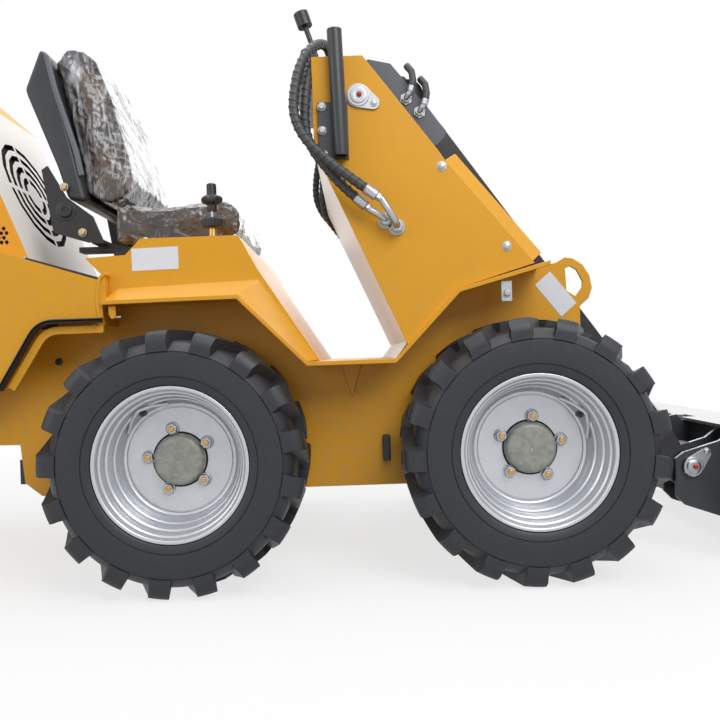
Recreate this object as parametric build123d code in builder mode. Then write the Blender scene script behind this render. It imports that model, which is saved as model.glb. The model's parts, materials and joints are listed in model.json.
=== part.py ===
"""A ride-on skid steer loader: four wheels on a short welded chassis, a tower with a two-arm
boom and bucket at the front, a seat over a console, and an engine hood at the rear.

Millimetres. X runs forward, Y to the loader's left and Z up. The origin is on the floor,
midway between the axles.
"""
from build123d import *
import math
import os

os.makedirs("parts", exist_ok=True)

# Chassis
chassis_half = 285.0
plate = 8.0
chassis_bottom = 194.0
chassis_front = 556.0
floor_z = 500.0
floor_half = 410.0
lip_out = 10.0
lip_depth = 10.0
arch_plate = 6.0
overall_half_length = 1400.0
chassis_rear = 60.0 - overall_half_length
bumper_depth = 60.0

# Wheels
axle_x = 394.5
axle_z = 290.0
tyre_radius = 290.0
tyre_width = 214.0
wheel_y = chassis_half + 132.0
tread_depth = 23.0
lug_count = 17
rim_radius = 169.0
rim_half_width = 99.0
disc_inset = 100.0
disc_plate = 12.0
hub_radius = 56.0
nut_circle = 71.0
shaft_radius = 30.0
running_gap = 0.05
wheel_facets = 24

# Tower and boom
pivot_x = 35.0
pivot_z = 1098.0
tower_half = 410.0
arm_outer = chassis_half - 17.0
arm_inner = arm_outer - 56.0
boom_pin_radius = 20.0
coupler_x = 818.0
coupler_z = 212.0
coupler_pin_radius = 20.0
lift_y = arm_inner - 42.0
lift_base_x = 142.0
lift_base_z = 320.0
lift_eye_x = 236.0
lift_eye_z = 905.0
tilt_base_x = 545.0
tilt_base_z = 655.0
tilt_eye_x = 868.0
tilt_eye_z = 292.0

# Seat, console and hood
console_half = 380.0
seat_half = 230.0
hood_half = 252.0
sheet = 4.0
hood_hinge_x = 40.0 - overall_half_length
hood_hinge_z = 722.0
hood_rear = 8.0 - overall_half_length
fender_top = 772.0
grille_radius = 155.0
grille_slot = 17.0
grille_pitch = 33.0
grille_spoke = 13.0
vent_hole = 5.6
vent_pitch = 13.2

# Bucket
bucket_half = 540.0
bucket_plate = 8.0
bucket_heel = 140.0
bucket_back_x = 943.0
bucket_top = 309.0
bucket_floor = 12.0


def xz_slab(outline, y_low, y_high):
    """A slab with an outline drawn in X and Z, between two Y values."""
    with BuildPart() as slab:
        with BuildSketch(Plane.XZ.offset(-y_low)):
            with BuildLine():
                Polyline(*outline, close=True)
            make_face()
        extrude(amount=y_low - y_high)
    return slab.part


def xz_disc(x, z, radius, y_low, y_high):
    """A round bar along Y between two Y values."""
    with BuildPart() as disc:
        with BuildSketch(Plane.XZ.offset(-y_low)):
            with Locations((x, z)):
                Circle(radius)
        extrude(amount=y_low - y_high)
    return disc.part


def block(x_low, x_high, y_low, y_high, z_low, z_high):
    """A plain box given by its limits."""
    with BuildPart() as box:
        with Locations(((x_low + x_high) / 2, (y_low + y_high) / 2, (z_low + z_high) / 2)):
            Box(x_high - x_low, y_high - y_low, z_high - z_low)
    return box.part


def bar_between(start, end, radius, inner=0.0):
    """A round bar, or a tube with an inner radius, between two points."""
    run = Vector(*end) - Vector(*start)
    with BuildPart() as bar:
        with BuildSketch(Plane(origin=start, z_dir=run)):
            Circle(radius)
            if inner:
                Circle(inner, mode=Mode.SUBTRACT)
        extrude(amount=run.length)
    return bar.part


def both_sides(solid):
    """The solid and its mirror image across the loader's middle plane."""
    return [solid, mirror(solid, about=Plane.XZ)]


def flat_sided(sections, ring=False):
    """A solid with flat triangles between matching closed sections; a ring joins up."""
    faces = []
    following = sections[1:] + (sections[:1] if ring else [])
    for here, there in zip(sections, following):
        for k in range(len(here)):
            faces.append(Face(Wire.make_polygon([here[k - 1], here[k], there[k]])))
            faces.append(Face(Wire.make_polygon([here[k - 1], there[k], there[k - 1]])))
    if not ring:
        faces.append(Face(Wire.make_polygon(sections[0])))
        faces.append(Face(Wire.make_polygon(sections[-1])))
    return Solid(Shell(faces))


def keep(builder, name):
    """Label a finished piece and write its STEP file."""
    builder.part.label = name
    export_step(builder.part, f"parts/{name}.step")


# Wheels: a lugged tyre and a dished rim on each corner, drawn about the Y axis on the left
def tyre_profile():
    """Half section of the tyre's carcass, as radius and distance from the wheel's middle."""
    half = tyre_width / 2
    crown = tyre_radius - tread_depth
    bead = rim_radius - 9
    side = [(bead, rim_half_width - 8), (rim_radius + 0.6, rim_half_width - 6),
            (rim_radius + 3, rim_half_width + 1), (rim_radius + 36, half),
            (tyre_radius - 47, half - 1), (crown, half - 27)]
    cavity = [(bead, 22 - rim_half_width), (crown - 20, 45 - half), (crown - 20, half - 45),
              (bead, rim_half_width - 22)]
    return side + [(r, -y) for r, y in reversed(side)] + cavity


def rim_profile():
    """Half section of the rim with its dished disc; the open face is at the far end."""
    half = rim_half_width
    disc_y = half - disc_inset
    seat = rim_radius - 9.3
    well = rim_radius - 34
    return [
        (rim_radius - 9, -half), (rim_radius, -half), (rim_radius, 4 - half), (seat, 5 - half),
        (seat, 24 - half), (well, 40 - half), (well, disc_y - 20), (rim_radius - 18, disc_y + 16),
        (seat, half - 24), (seat, half - 5), (rim_radius, half - 4), (rim_radius, half),
        (rim_radius - 9, half), (rim_radius - 15, half - 24), (rim_radius - 23, disc_y + 14),
        (well - 6, disc_y), (hub_radius - 16, disc_y), (hub_radius - 16, disc_y - disc_plate),
        (well - 6, disc_y - disc_plate), (well - 6, 38 - half), (rim_radius - 15, 22 - half),
    ]


def around(radius, y, degrees):
    """A point at a clockwise angle from the top of the wheel, seen from the right."""
    angle = math.radians(degrees)
    return (radius * math.sin(angle), y, radius * math.cos(angle))


def wheel_ring(profile):
    """A ring with flat facets about the axle, from a closed half section."""
    step = 360 / wheel_facets
    return flat_sided([[around(r, y + wheel_y, k * step) for r, y in profile]
                       for k in range(wheel_facets)], ring=True)


def lug(start, outward):
    """A tread lug that leans from the tyre's shoulder to the middle of the tread."""
    half = tyre_width / 2
    crown = tyre_radius - tread_depth
    stations = [(half, 0, 10.1, tyre_radius - 50, tyre_radius - 20),
                (half - 9, 0.4, 10.4, tyre_radius - 52, tyre_radius - 3),
                (half - 30, 1.8, 11.4, crown - 14, tyre_radius),
                (3, 11.5, 18.5, crown - 6, tyre_radius)]
    return flat_sided([[around(low, wheel_y + outward * y, start + a),
                        around(low, wheel_y + outward * y, start + b),
                        around(high, wheel_y + outward * y, start + b),
                        around(high, wheel_y + outward * y, start + a)]
                       for y, a, b, low, high in stations])


lug_pitch = 360 / lug_count
for end_name, end, first_lug, first_nut in (("front", 1, 8.7, 5.5), ("rear", -1, 11.9, -12.6)):
    with BuildPart() as tyre_shape:
        add(wheel_ring(tyre_profile()))
        add([lug(first_lug + k * lug_pitch, 1) for k in range(lug_count)]
            + [lug(first_lug + (k + 0.5) * lug_pitch, -1) for k in range(lug_count)])

    with BuildPart() as rim_shape:
        disc_face = wheel_y + rim_half_width - disc_inset
        add(wheel_ring(rim_profile()))
        with BuildSketch(Plane.XZ.offset(-disc_face + disc_plate)):
            Circle(hub_radius)
        extrude(amount=-disc_plate - 22)
        with BuildSketch(Plane.XZ.offset(-disc_face - 22)):
            Circle(hub_radius)
        extrude(amount=-5, taper=12)
        for k in range(5):
            x, y, z = around(nut_circle, disc_face, first_nut + 72 * k)
            with BuildSketch(Plane((x, y, z), x_dir=(1, 0, 0), z_dir=(0, 1, 0))):
                RegularPolygon(14, 6)
            extrude(amount=20)
        with BuildSketch(Plane.XZ.offset(-disc_face + disc_plate)):
            Circle(shaft_radius + running_gap)
        extrude(amount=-disc_plate - 14, mode=Mode.SUBTRACT)

    for kind, shape in (("tyre", tyre_shape.part), ("rim", rim_shape.part)):
        for side_name, shape_there in (("left", shape), ("right", mirror(shape, about=Plane.XZ))):
            with BuildPart() as wheel_piece:
                with Locations((end * axle_x, 0, axle_z)):
                    add(shape_there)
            keep(wheel_piece, f"{kind}_{end_name}_{side_name}")

# Axle housings: a bolted flange, a drive housing and the shaft in each rim's bore
with BuildPart() as axle_housings:
    disc_back = wheel_y + rim_half_width - disc_inset - disc_plate
    for x in (axle_x, -axle_x):
        for side in (1, -1):
            foot = Plane(origin=(x, side * chassis_half, axle_z), z_dir=(0, side, 0))
            with BuildSketch(foot):
                RegularPolygon(86, 12)
            extrude(amount=16)
            with BuildSketch(foot):
                RegularPolygon(64, 12)
            extrude(amount=disc_back - 8 - chassis_half, taper=3)
            with BuildSketch(foot):
                Circle(shaft_radius)
            extrude(amount=disc_back + 18 - chassis_half)
keep(axle_housings, "axle_housings")

# Floor and wheel arches: one folded sheet on each side, in side view
arch_line = [(-560, 154), (-256, 157), (-102, 0), (101, 0), (250, 155), (456, 210)]


def arch_points(lift):
    """The arch sheet's top line, raised by an amount."""
    return [(x, floor_z + dz + lift) for x, dz in arch_line]


# Chassis: a welded core between two side plates that end in the front lifting eyes
eye_top = floor_z + 231
inner = chassis_half - plate
plate_outline = [
    (-806, 227), (-765, chassis_bottom), (chassis_front - 30, chassis_bottom),
    (chassis_front, chassis_bottom + 36), (chassis_front + 2, floor_z + 111),
    (chassis_front + 24, floor_z + 130), (chassis_front + 33, floor_z + 155),
    (chassis_front + 28, floor_z + 185), (chassis_front + 12, floor_z + 212),
    (chassis_front - 12, eye_top - 3), (chassis_front - 32, eye_top),
    (chassis_front - 52, eye_top - 12),
] + arch_points(0)[::-1] + [
    (-640, 600), (chassis_rear, 600), (chassis_rear, 330), (-815, 320),
]
eye_hole = [(chassis_front - 31, floor_z + 204), (chassis_front - 19, floor_z + 209),
            (chassis_front - 4, floor_z + 200), (chassis_front + 10, floor_z + 172),
            (chassis_front + 8, floor_z + 156), (chassis_front - 8, floor_z + 136),
            (chassis_front - 29, floor_z + 150)]
for side_name, side in (("left", 1), ("right", -1)):
    with BuildPart() as chassis_plate:
        low, high = sorted((side * inner, side * chassis_half))
        add(xz_slab(plate_outline, low, high))
        add(xz_slab(eye_hole, low - plate, high + plate), mode=Mode.SUBTRACT)
        low, high = sorted((side * chassis_half, side * (chassis_half + plate)))
        add(xz_slab([(-30, floor_z - arch_plate), (24, floor_z - arch_plate),
                     (-3, floor_z - 90)], low, high))
    keep(chassis_plate, f"chassis_plate_{side_name}")

with BuildPart() as chassis_frame:
    add(block(-765, chassis_front - 16, -inner, inner, chassis_bottom, chassis_bottom + plate))
    add(block(chassis_front - 16, chassis_front - 8, -inner, inner, chassis_bottom, 372))
    add(xz_slab([(-765, chassis_bottom), (-757, chassis_bottom), (-800, 330), (-808, 330)],
                -inner, inner))
    add(block(chassis_rear, -800, -inner, inner, 330, 338))
    add(block(chassis_rear, chassis_rear + plate, -inner, inner, 330, 600))
    for x in (axle_x, -axle_x):
        add(block(x - 60, x - 52, -inner, inner, chassis_bottom, 360))
        add(block(x + 52, x + 60, -inner, inner, chassis_bottom, 360))
    # Clevis plates that carry the foot of each lift cylinder
    foot = [(lift_base_x - 70, chassis_bottom + 8), (lift_base_x + 70, chassis_bottom + 8),
            (lift_base_x + 34, lift_base_z + 20), (lift_base_x, lift_base_z + 38),
            (lift_base_x - 34, lift_base_z + 20)]
    for y in (lift_y - 42, lift_y + 32):
        for ear in both_sides(xz_slab(foot, y, y + 10)):
            add(ear)
    for pin in both_sides(xz_disc(lift_base_x, lift_base_z, 16, lift_y - 48, lift_y + 48)):
        add(pin)
keep(chassis_frame, "chassis_frame")

with BuildPart() as rubber_stops:
    for x in (76, -76):
        for stop in both_sides(block(x - 9, x + 9, chassis_half, chassis_half + 20, 253, 316)):
            add(stop)
keep(rubber_stops, "rubber_stops")

with BuildPart() as floor_pan:
    top = arch_points(0)
    for arch in both_sides(xz_slab(top + arch_points(-arch_plate)[::-1], chassis_half,
                                   floor_half)):
        add(arch)
    for lip in both_sides(xz_slab(top + arch_points(-lip_depth)[::-1], floor_half,
                                  floor_half + lip_out)):
        add(lip)
    add(block(arch_line[2][0], arch_line[3][0], -inner, inner, floor_z - arch_plate, floor_z))
keep(floor_pan, "floor_pan")

# Tower: side plates with a folded front flange, and the wall in front of the feet
fold_top = (227, 946)
fold_foot = (422, 706)
tower_outline = [
    (-69, 979), (-69, 1190), (47, 1190), (108, 1109), (212, 969), fold_top, fold_foot,
    arch_points(0)[4], arch_points(0)[3], (128, floor_z + 32),
]
fold_run = (fold_foot[0] - fold_top[0], fold_foot[1] - fold_top[1])
flange_out = 36.0
for side_name, side in (("left", 1), ("right", -1)):
    with BuildPart() as tower_side:
        low, high = sorted((side * (tower_half - plate), side * tower_half))
        add(xz_slab(tower_outline, low, high))
        add(xz_disc(pivot_x, pivot_z, boom_pin_radius + running_gap,
                    -tower_half - 5, tower_half + 5), mode=Mode.SUBTRACT)
        # The flange is bent inward and forward along the fold
        with BuildSketch(Plane(origin=(fold_top[0], side * tower_half, fold_top[1]),
                               x_dir=(0, 1, 0), z_dir=(fold_run[0], 0, fold_run[1]))):
            with BuildLine():
                Polyline((0, 0), (-side * (flange_out - 2), flange_out),
                         (-side * (flange_out + 3.7), flange_out - 5.7),
                         (-side * plate, -3), (-side * plate, -8), (0, -8), close=True)
            make_face()
        extrude(amount=math.hypot(*fold_run) - 6)
    keep(tower_side, f"tower_side_{side_name}")

wall_line = [(-64, 1150), (-64, 980), (131, floor_z + 38), arch_points(0)[3]]
with BuildPart() as tower_wall:
    back = [(x - 5, z) for x, z in reversed(wall_line)]
    add(xz_slab(wall_line + back, plate - tower_half, tower_half - plate))
keep(tower_wall, "tower_wall")

with BuildPart() as control_console:
    add(xz_slab([(-72, 1150), (-6, 1150), (-6, 1218), (-28, 1258), (-62, 1266), (-130, 1238),
                 (-130, 1215), (-72, 1200)], -190, 190))
keep(control_console, "control_console")

with BuildPart() as control_levers:
    for y in (-120, 120):
        add(bar_between((-60, y, 1255), (-64, y, 1290), 24))
        add(bar_between((-63, y, 1286), (-97, y, 1390), 7))
        add(bar_between((-95, y, 1384), (-107, y, 1422), 20))
keep(control_levers, "control_levers")

# Hand rails: an open-ended tube beside each tower plate on a bolted bracket
rail_radius = 17.0
bracket_plate = 6.0
rail_y = tower_half + bracket_plate + rail_radius
with BuildPart() as hand_rails:
    for side in (1, -1):
        add(bar_between((-8, side * rail_y, 957), (-14, side * rail_y, 1240), rail_radius,
                        rail_radius - 4))
keep(hand_rails, "hand_rails")

with BuildPart() as rail_brackets:
    for side_bracket in both_sides(block(-58, 10, tower_half, tower_half + bracket_plate,
                                         955, 1085)):
        add(side_bracket)
keep(rail_brackets, "rail_brackets")

# Seat console: a sheet box over the tank and battery, open below, with flared lower bands
console_floor = arch_points(0)[:3][::-1]
console_outline = [
    (-73, floor_z), (-209, floor_z + 214), (-253, floor_z + 297), (-479, floor_z + 297),
    (-515, floor_z + 260), (-608, floor_z + 256), (-560, floor_z + 205),
] + console_floor[::-1]
inner_console = [
    (-84, floor_z - 2), (-213, floor_z + 211), (-256, floor_z + 293), (-477, floor_z + 293),
    (-513, floor_z + 256), (-599, floor_z + 252), (-556, floor_z + 203),
    (-556, floor_z + 140), (-256, floor_z + 140), (-112, floor_z - 2),
]
band_line = [(-534, floor_z + 184), (-210, floor_z + 194), (-76, floor_z + 3)]
with BuildPart() as seat_console:
    add(xz_slab(console_outline, -console_half, console_half))
    add(xz_slab(inner_console, -console_half + sheet, console_half - sheet), mode=Mode.SUBTRACT)
    for side in (1, -1):
        wedge = [[(x, side * (console_half - 1), z), (fx, side * (floor_half - 1), fz + 0.4),
                  (fx, side * (console_half - 1), fz + 0.4)]
                 for (x, z), (fx, fz) in zip(band_line, arch_points(0)[:3])]
        add(flat_sided(wedge))
keep(seat_console, "seat_console")

# Control knob: a bronze stem, a knurled collar, a lobed grip ring and a button
knob_x = -316.0
knob_y = -350.0
console_top = floor_z + 297
with BuildPart() as control_knob:
    for radius, low, high, sides in ((16, 0, 24, 12), (24, 24, 46, 16), (11, 46, 78, 12),
                                     (25, 78, 100, 8), (12, 100, 128, 12)):
        with BuildSketch(Plane.XY.offset(console_top + low)):
            with Locations((knob_x, knob_y)):
                RegularPolygon(radius, sides)
        extrude(amount=high - low)
keep(control_knob, "control_knob")

# Seat
with BuildPart() as seat_frame:
    for rail in both_sides(block(-690, -280, 150, 190, console_top, console_top + 14)):
        add(rail)
    for leg in both_sides(block(-600, -560, 150, 190, floor_z + 258.2, console_top)):
        add(leg)
    for bracket in both_sides(xz_slab([(-735, 842), (-650, 815), (-610, 815), (-636, 880),
                                       (-700, 930), (-745, 1010), (-760, 1000)],
                                      seat_half, seat_half + 8)):
        add(bracket)
    add(block(-640, -610, -seat_half - 8, seat_half + 8, console_top + 14, console_top + 24))
keep(seat_frame, "seat_frame")

with BuildPart() as seat_cushion:
    base = console_top + 14.3
    add(xz_slab([(-600, base), (-275, base), (-259, 826), (-262, 880), (-293, 898), (-500, 884),
                 (-600, 900)], -seat_half, seat_half))
    chamfer(seat_cushion.edges().filter_by(Axis.Y), 8)
keep(seat_cushion, "seat_cushion")

with BuildPart() as seat_back_cushion:
    add(xz_slab([(-604, 905), (-560, 918), (-545, 960), (-610, 1200), (-660, 1325),
                 (-705, 1330), (-735, 1290), (-680, 1040), (-655, 930)],
                -seat_half + 14, seat_half - 14))
keep(seat_back_cushion, "seat_back_cushion")

with BuildPart() as seat_back_shell:
    add(xz_slab([(-653, 920), (-680.4, 1041), (-735.4, 1291), (-758, 1310), (-800, 1205),
                 (-725, 1010), (-700, 925)], -seat_half, seat_half))
keep(seat_back_shell, "seat_back_shell")

# Engine bay: rear fenders with a deck, edge rubber, bumper, engine block
strip_line = [(-561, 605), (-700, 605), (-790, 460)]
fender_outline = [(-561, 699)] + strip_line + [(chassis_rear, 460), (chassis_rear, fender_top),
                                               (-789, fender_top)]
for side_name, side in (("left", 1), ("right", -1)):
    with BuildPart() as rear_fender:
        low, high = sorted((side * (tower_half - sheet), side * tower_half))
        add(xz_slab(fender_outline, low, high))
        low, high = sorted((side * (hood_half + 8), side * (tower_half - sheet)))
        add(xz_slab([(-610, 714), (-789, fender_top), (chassis_rear, fender_top),
                     (chassis_rear, fender_top - sheet), (-789, fender_top - sheet),
                     (-610, 714 - sheet)], low, high))
        add(xz_slab([(-570, 652), (-570, 600), (-566, 600), (-566, 652)],
                    *sorted((side * chassis_half, side * (tower_half - sheet)))))
    keep(rear_fender, f"rear_fender_{side_name}")

rubber_line = strip_line + [(-800, 460), (-706, 615), (-561, 615)]
with BuildPart() as fender_rubber:
    for strip in both_sides(xz_slab(rubber_line, tower_half, tower_half + 20)):
        add(strip)
keep(fender_rubber, "fender_rubber")

tow_hole = 13.0
with BuildPart() as rear_bumper:
    bumper_rear = -overall_half_length
    add(block(bumper_rear, bumper_rear + bumper_depth, -400, 400, 250, 640))
    add(block(bumper_rear, bumper_rear + bumper_depth, -60, 60, 250, 460), mode=Mode.SUBTRACT)
    add(block(bumper_rear, bumper_rear + bumper_depth, -60, 60, 366, 390))
    with Locations((bumper_rear + bumper_depth / 2, 0, 378)):
        Cylinder(tow_hole, 60, mode=Mode.SUBTRACT)
    # Brackets and pins that carry the hood
    for y in (190, 213):
        for bracket in both_sides(xz_slab(
                [(hood_hinge_x + 8, 640), (hood_hinge_x + 20, 640), (hood_hinge_x + 32, 728),
                 (hood_hinge_x + 12, hood_hinge_z + 17), (hood_hinge_x - 8, hood_hinge_z + 16),
                 (hood_hinge_x - 17, hood_hinge_z), (hood_hinge_x - 8, hood_hinge_z - 16)],
                y, y + 9)):
            add(bracket)
    for pin in both_sides(xz_disc(hood_hinge_x, hood_hinge_z, 8, 186, 226)):
        add(pin)
keep(rear_bumper, "rear_bumper")

with BuildPart() as engine_block:
    add(block(hood_rear + 177, hood_rear + 512, -145, 145, 338, 640))
keep(engine_block, "engine_block")

# Hood: a hollow lid with a round fan grille, side vents and lugs on its rear hinge
hood_front = ((-767, 712), (-972, 1226))
hood_outline = [hood_front[0], hood_front[1], (-1085, 1329), (hood_rear + 16, 1345),
                (hood_rear, 782), (hood_rear, 712)]
front_run = (hood_front[1][0] - hood_front[0][0], hood_front[1][1] - hood_front[0][1])
front_length = math.hypot(*front_run)
up_slope = (front_run[0] / front_length, front_run[1] / front_length)
hood_inside = [(-777, 700), (-976, 1223), (-1087, 1325), (hood_rear + 20, 1341),
               (hood_rear + 4, 782), (hood_rear + 4, 700)]
with BuildPart() as hood_shell:
    add(xz_slab(hood_outline, -hood_half, hood_half))
    add(xz_slab(hood_inside, -hood_half + sheet, hood_half - sheet), mode=Mode.SUBTRACT)
    # Rings of slots broken by four spokes
    grille_x = hood_front[0][0] + up_slope[0] * 296
    grille_z = hood_front[0][1] + up_slope[1] * 296
    with BuildSketch(Plane(origin=(grille_x, 0, grille_z), x_dir=(0, 1, 0),
                           z_dir=(up_slope[1], 0, -up_slope[0]))):
        for ring in range(4):
            RegularPolygon(grille_radius - ring * grille_pitch, 16)
            RegularPolygon(grille_radius - ring * grille_pitch - grille_slot, 16,
                           mode=Mode.SUBTRACT)
        Rectangle(2 * grille_radius + 2, grille_spoke, mode=Mode.SUBTRACT)
        Rectangle(grille_spoke, 2 * grille_radius + 2, mode=Mode.SUBTRACT)
    extrude(amount=-16, mode=Mode.SUBTRACT)
    # Staggered rows of six-sided vent holes through both side panels
    for row in range(4):
        for column in range(6 - row % 2):
            x = -846 - (column + row % 2 / 2) * vent_pitch
            z = 820 + row * vent_pitch * math.sqrt(3) / 2
            for side in (1, -1):
                with BuildSketch(Plane.XZ.offset(-side * (hood_half + 1))):
                    with Locations((x, z)):
                        RegularPolygon(vent_hole, 6)
                extrude(amount=side * (sheet + 2), mode=Mode.SUBTRACT)
    for hinge_lug in both_sides(xz_slab(
            [(hood_rear + 3, 712), (hood_hinge_x - 8, hood_hinge_z - 16),
             (hood_hinge_x + 10, hood_hinge_z - 14), (hood_hinge_x + 17, hood_hinge_z),
             (hood_hinge_x + 10, hood_hinge_z + 14), (hood_rear + 3, 760)], 201, 211)):
        add(hinge_lug)
    add(xz_disc(hood_hinge_x, hood_hinge_z, 8 + running_gap, -220, 220), mode=Mode.SUBTRACT)
keep(hood_shell, "hood_shell")

# Boom: two box arms on a pivot tube, with cheek plates and cross tubes
arm_outline = [
    (pivot_x - 20, pivot_z + 58), (pivot_x + 75, pivot_z + 100), (152, 1190), (249, 1053),
    (769, 315), (800, 262), (coupler_x - 45, coupler_z - 38), (679, 250), (283, 814),
    (159, 990), (pivot_x + 70, pivot_z - 70), (pivot_x - 10, pivot_z - 60),
]
cheek_outline = [
    (pivot_x - 20, pivot_z + 56), (pivot_x + 75, pivot_z + 88), (165, 1170), (246, 1064),
    (246, 1048), (222, 1024), (150, 1050), (pivot_x + 30, pivot_z - 52),
    (pivot_x - 30, pivot_z - 52),
]
tube_radius = 46.0
with BuildPart() as boom_frame:
    for arm in both_sides(xz_slab(arm_outline, arm_inner, arm_outer)):
        add(arm)
    for boss in both_sides(xz_disc(pivot_x, pivot_z, 60, arm_inner, arm_outer)):
        add(boss)
    for boss in both_sides(xz_disc(coupler_x, coupler_z, 55, arm_inner, arm_outer)):
        add(boss)
    add(xz_disc(pivot_x, pivot_z, tube_radius, 14 - tower_half, tower_half - 14))
    add(xz_disc(pivot_x, pivot_z, boom_pin_radius, -tower_half - 4, tower_half + 4))
    add(xz_disc(500, 601, 36, -arm_inner, arm_inner))
    add(xz_disc(640, 402, 40, -arm_inner, arm_inner))
    add(xz_disc(150, 1110, 36, 38 - tower_half, tower_half - 38))
    add(xz_disc(coupler_x, coupler_z, coupler_pin_radius + running_gap, -arm_outer - 5,
                arm_outer + 5), mode=Mode.SUBTRACT)
    # Ears for the tilt cylinder's base
    ear = [(470, 580), (530, 575), (tilt_base_x + 28, tilt_base_z - 12),
           (tilt_base_x + 24, tilt_base_z + 24), (tilt_base_x - 20, tilt_base_z + 26)]
    for tilt_ear in both_sides(xz_slab(ear, 36, 46)):
        add(tilt_ear)
    add(xz_disc(tilt_base_x, tilt_base_z, 16, -52, 52))
keep(boom_frame, "boom_frame")

with BuildPart() as boom_cheeks:
    for cheek in both_sides(xz_slab(cheek_outline, tower_half - 38, tower_half - 28)):
        add(cheek)
    add(xz_disc(pivot_x, pivot_z, tube_radius + running_gap, -tower_half, tower_half),
        mode=Mode.SUBTRACT)
    add(xz_disc(150, 1110, 36 + running_gap, -tower_half, tower_half), mode=Mode.SUBTRACT)
keep(boom_cheeks, "boom_cheeks")


# Cylinders, at rest: a barrel on its base pin and a rod that slides in it
def unit(start, end):
    """Direction from one point to another in the X and Z plane, and their distance."""
    run = math.hypot(end[0] - start[0], end[1] - start[1])
    return (end[0] - start[0]) / run, (end[1] - start[1]) / run, run


def along(start, direction, distance, y):
    """A point at a distance along a cylinder's axis."""
    return (start[0] + direction[0] * distance, y, start[1] + direction[1] * distance)


lift_base = (lift_base_x, lift_base_z)
lift_eye = (lift_eye_x, lift_eye_z)
tilt_base = (tilt_base_x, tilt_base_z)
tilt_eye = (tilt_eye_x, tilt_eye_z)


def barrel(base, eye, y, radius, length, lug_half, pin_radius):
    """A cylinder barrel with its bored lug around the base pin."""
    direction = unit(base, eye)
    with BuildPart() as tube:
        add(xz_disc(base[0], base[1], pin_radius + 14, y - lug_half, y + lug_half))
        add(bar_between(along(base, direction, 24, y), along(base, direction, length, y), radius))
        add(bar_between(along(base, direction, length - 40, y),
                        along(base, direction, length, y), radius + 5))
        add(xz_disc(base[0], base[1], pin_radius + running_gap, y - 80, y + 80),
            mode=Mode.SUBTRACT)
        add(bar_between(along(base, direction, 40, y), along(base, direction, length + 5, y),
                        radius - 7), mode=Mode.SUBTRACT)
    return tube.part


def rod(base, eye, y, radius, reach, piston_radius, eye_half, pin_half):
    """A rod with its piston inside the barrel and an eye at its end."""
    direction = unit(base, eye)
    with BuildPart() as shaft:
        add(bar_between(along(base, direction, reach, y),
                        along(base, direction, direction[2] - 10, y), radius))
        add(bar_between(along(base, direction, reach, y),
                        along(base, direction, reach + 30, y), piston_radius))
        add(xz_disc(eye[0], eye[1], 30, y - eye_half, y + eye_half))
        add(xz_disc(eye[0], eye[1], 16, y - pin_half, y + pin_half))
    return shaft.part


with BuildPart() as lift_barrels:
    for side in (1, -1):
        add(barrel(lift_base, lift_eye, side * lift_y, 32, 500, 28, 16))
keep(lift_barrels, "lift_barrels")
with BuildPart() as lift_rods:
    for side in (1, -1):
        add(rod(lift_base, lift_eye, side * lift_y, 16, 60, 24.9, 20, 34))
keep(lift_rods, "lift_rods")
with BuildPart() as tilt_barrel:
    add(barrel(tilt_base, tilt_eye, 0, 32, 360, 30, 16))
keep(tilt_barrel, "tilt_barrel")
with BuildPart() as tilt_rod:
    add(rod(tilt_base, tilt_eye, 0, 16, 90, 24.9, 20, 28))
keep(tilt_rod, "tilt_rod")

# Coupler: a plate with ears on both sides of each arm's end, and its pins
coupler_face = bucket_back_x - 11
rod_gap = 34.0
ear_outline = [
    (778, 232), (799, 247), (887, 272), (coupler_face - 12, 296), (coupler_face - 12, 78),
    (881, 89), (799, 118), (778, 140),
]
tilt_ear_outline = [
    (coupler_face - 12, 120), (coupler_face - 12, 298), (898, 302),
    (tilt_eye_x + 16, tilt_eye_z + 26),
    (tilt_eye_x - 26, tilt_eye_z + 20), (tilt_eye_x - 30, tilt_eye_z - 26), (880, 150),
]
with BuildPart() as coupler_frame:
    add(block(coupler_face - 12, coupler_face, -300, 300, 75, 300))
    add(block(coupler_face - 13, coupler_face + 1, -rod_gap, rod_gap, tilt_eye_z - 30, 301),
        mode=Mode.SUBTRACT)
    for y in (arm_inner - 5 - 10, arm_outer + 5):
        for ear in both_sides(xz_slab(ear_outline, y, y + 10)):
            add(ear)
    for ear in both_sides(xz_slab(tilt_ear_outline, 38, 48)):
        add(ear)
    add(xz_disc(coupler_x, coupler_z, coupler_pin_radius + running_gap, -300, 300),
        mode=Mode.SUBTRACT)
keep(coupler_frame, "coupler_frame")

with BuildPart() as coupler_pins:
    for pin in both_sides(xz_disc(coupler_x, coupler_z, coupler_pin_radius, arm_inner - 18,
                                  arm_outer + 21)):
        add(pin)
    keeper = [(coupler_x - 22, coupler_z - 14), (coupler_x + 2, coupler_z - 26),
              (coupler_x + 24, coupler_z - 10), (coupler_x + 46, coupler_z + 28),
              (coupler_x + 40, coupler_z + 42), (coupler_x + 26, coupler_z + 42),
              (coupler_x - 14, coupler_z + 20)]
    for keeper_plate in both_sides(xz_slab(keeper, arm_outer + 15, arm_outer + 21)):
        add(keeper_plate)
keep(coupler_pins, "coupler_pins")

# Bucket: a rolled shell with side plates, hooked on the coupler, and its cutting edge
lip_x = overall_half_length


def bucket_section(inset):
    """Outline points of the rolled shell, moved inward by an inset."""
    heel = bucket_heel - inset
    centre_x = bucket_back_x + bucket_heel
    centre_z = bucket_floor + bucket_heel
    arc = [(centre_x - heel * math.sin(math.radians(a)), centre_z - heel * math.cos(math.radians(a)))
           for a in range(90, -1, -15)]
    return [(bucket_back_x + 110, bucket_top - inset),
            (bucket_back_x + inset, bucket_top - inset)] + arc


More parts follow.
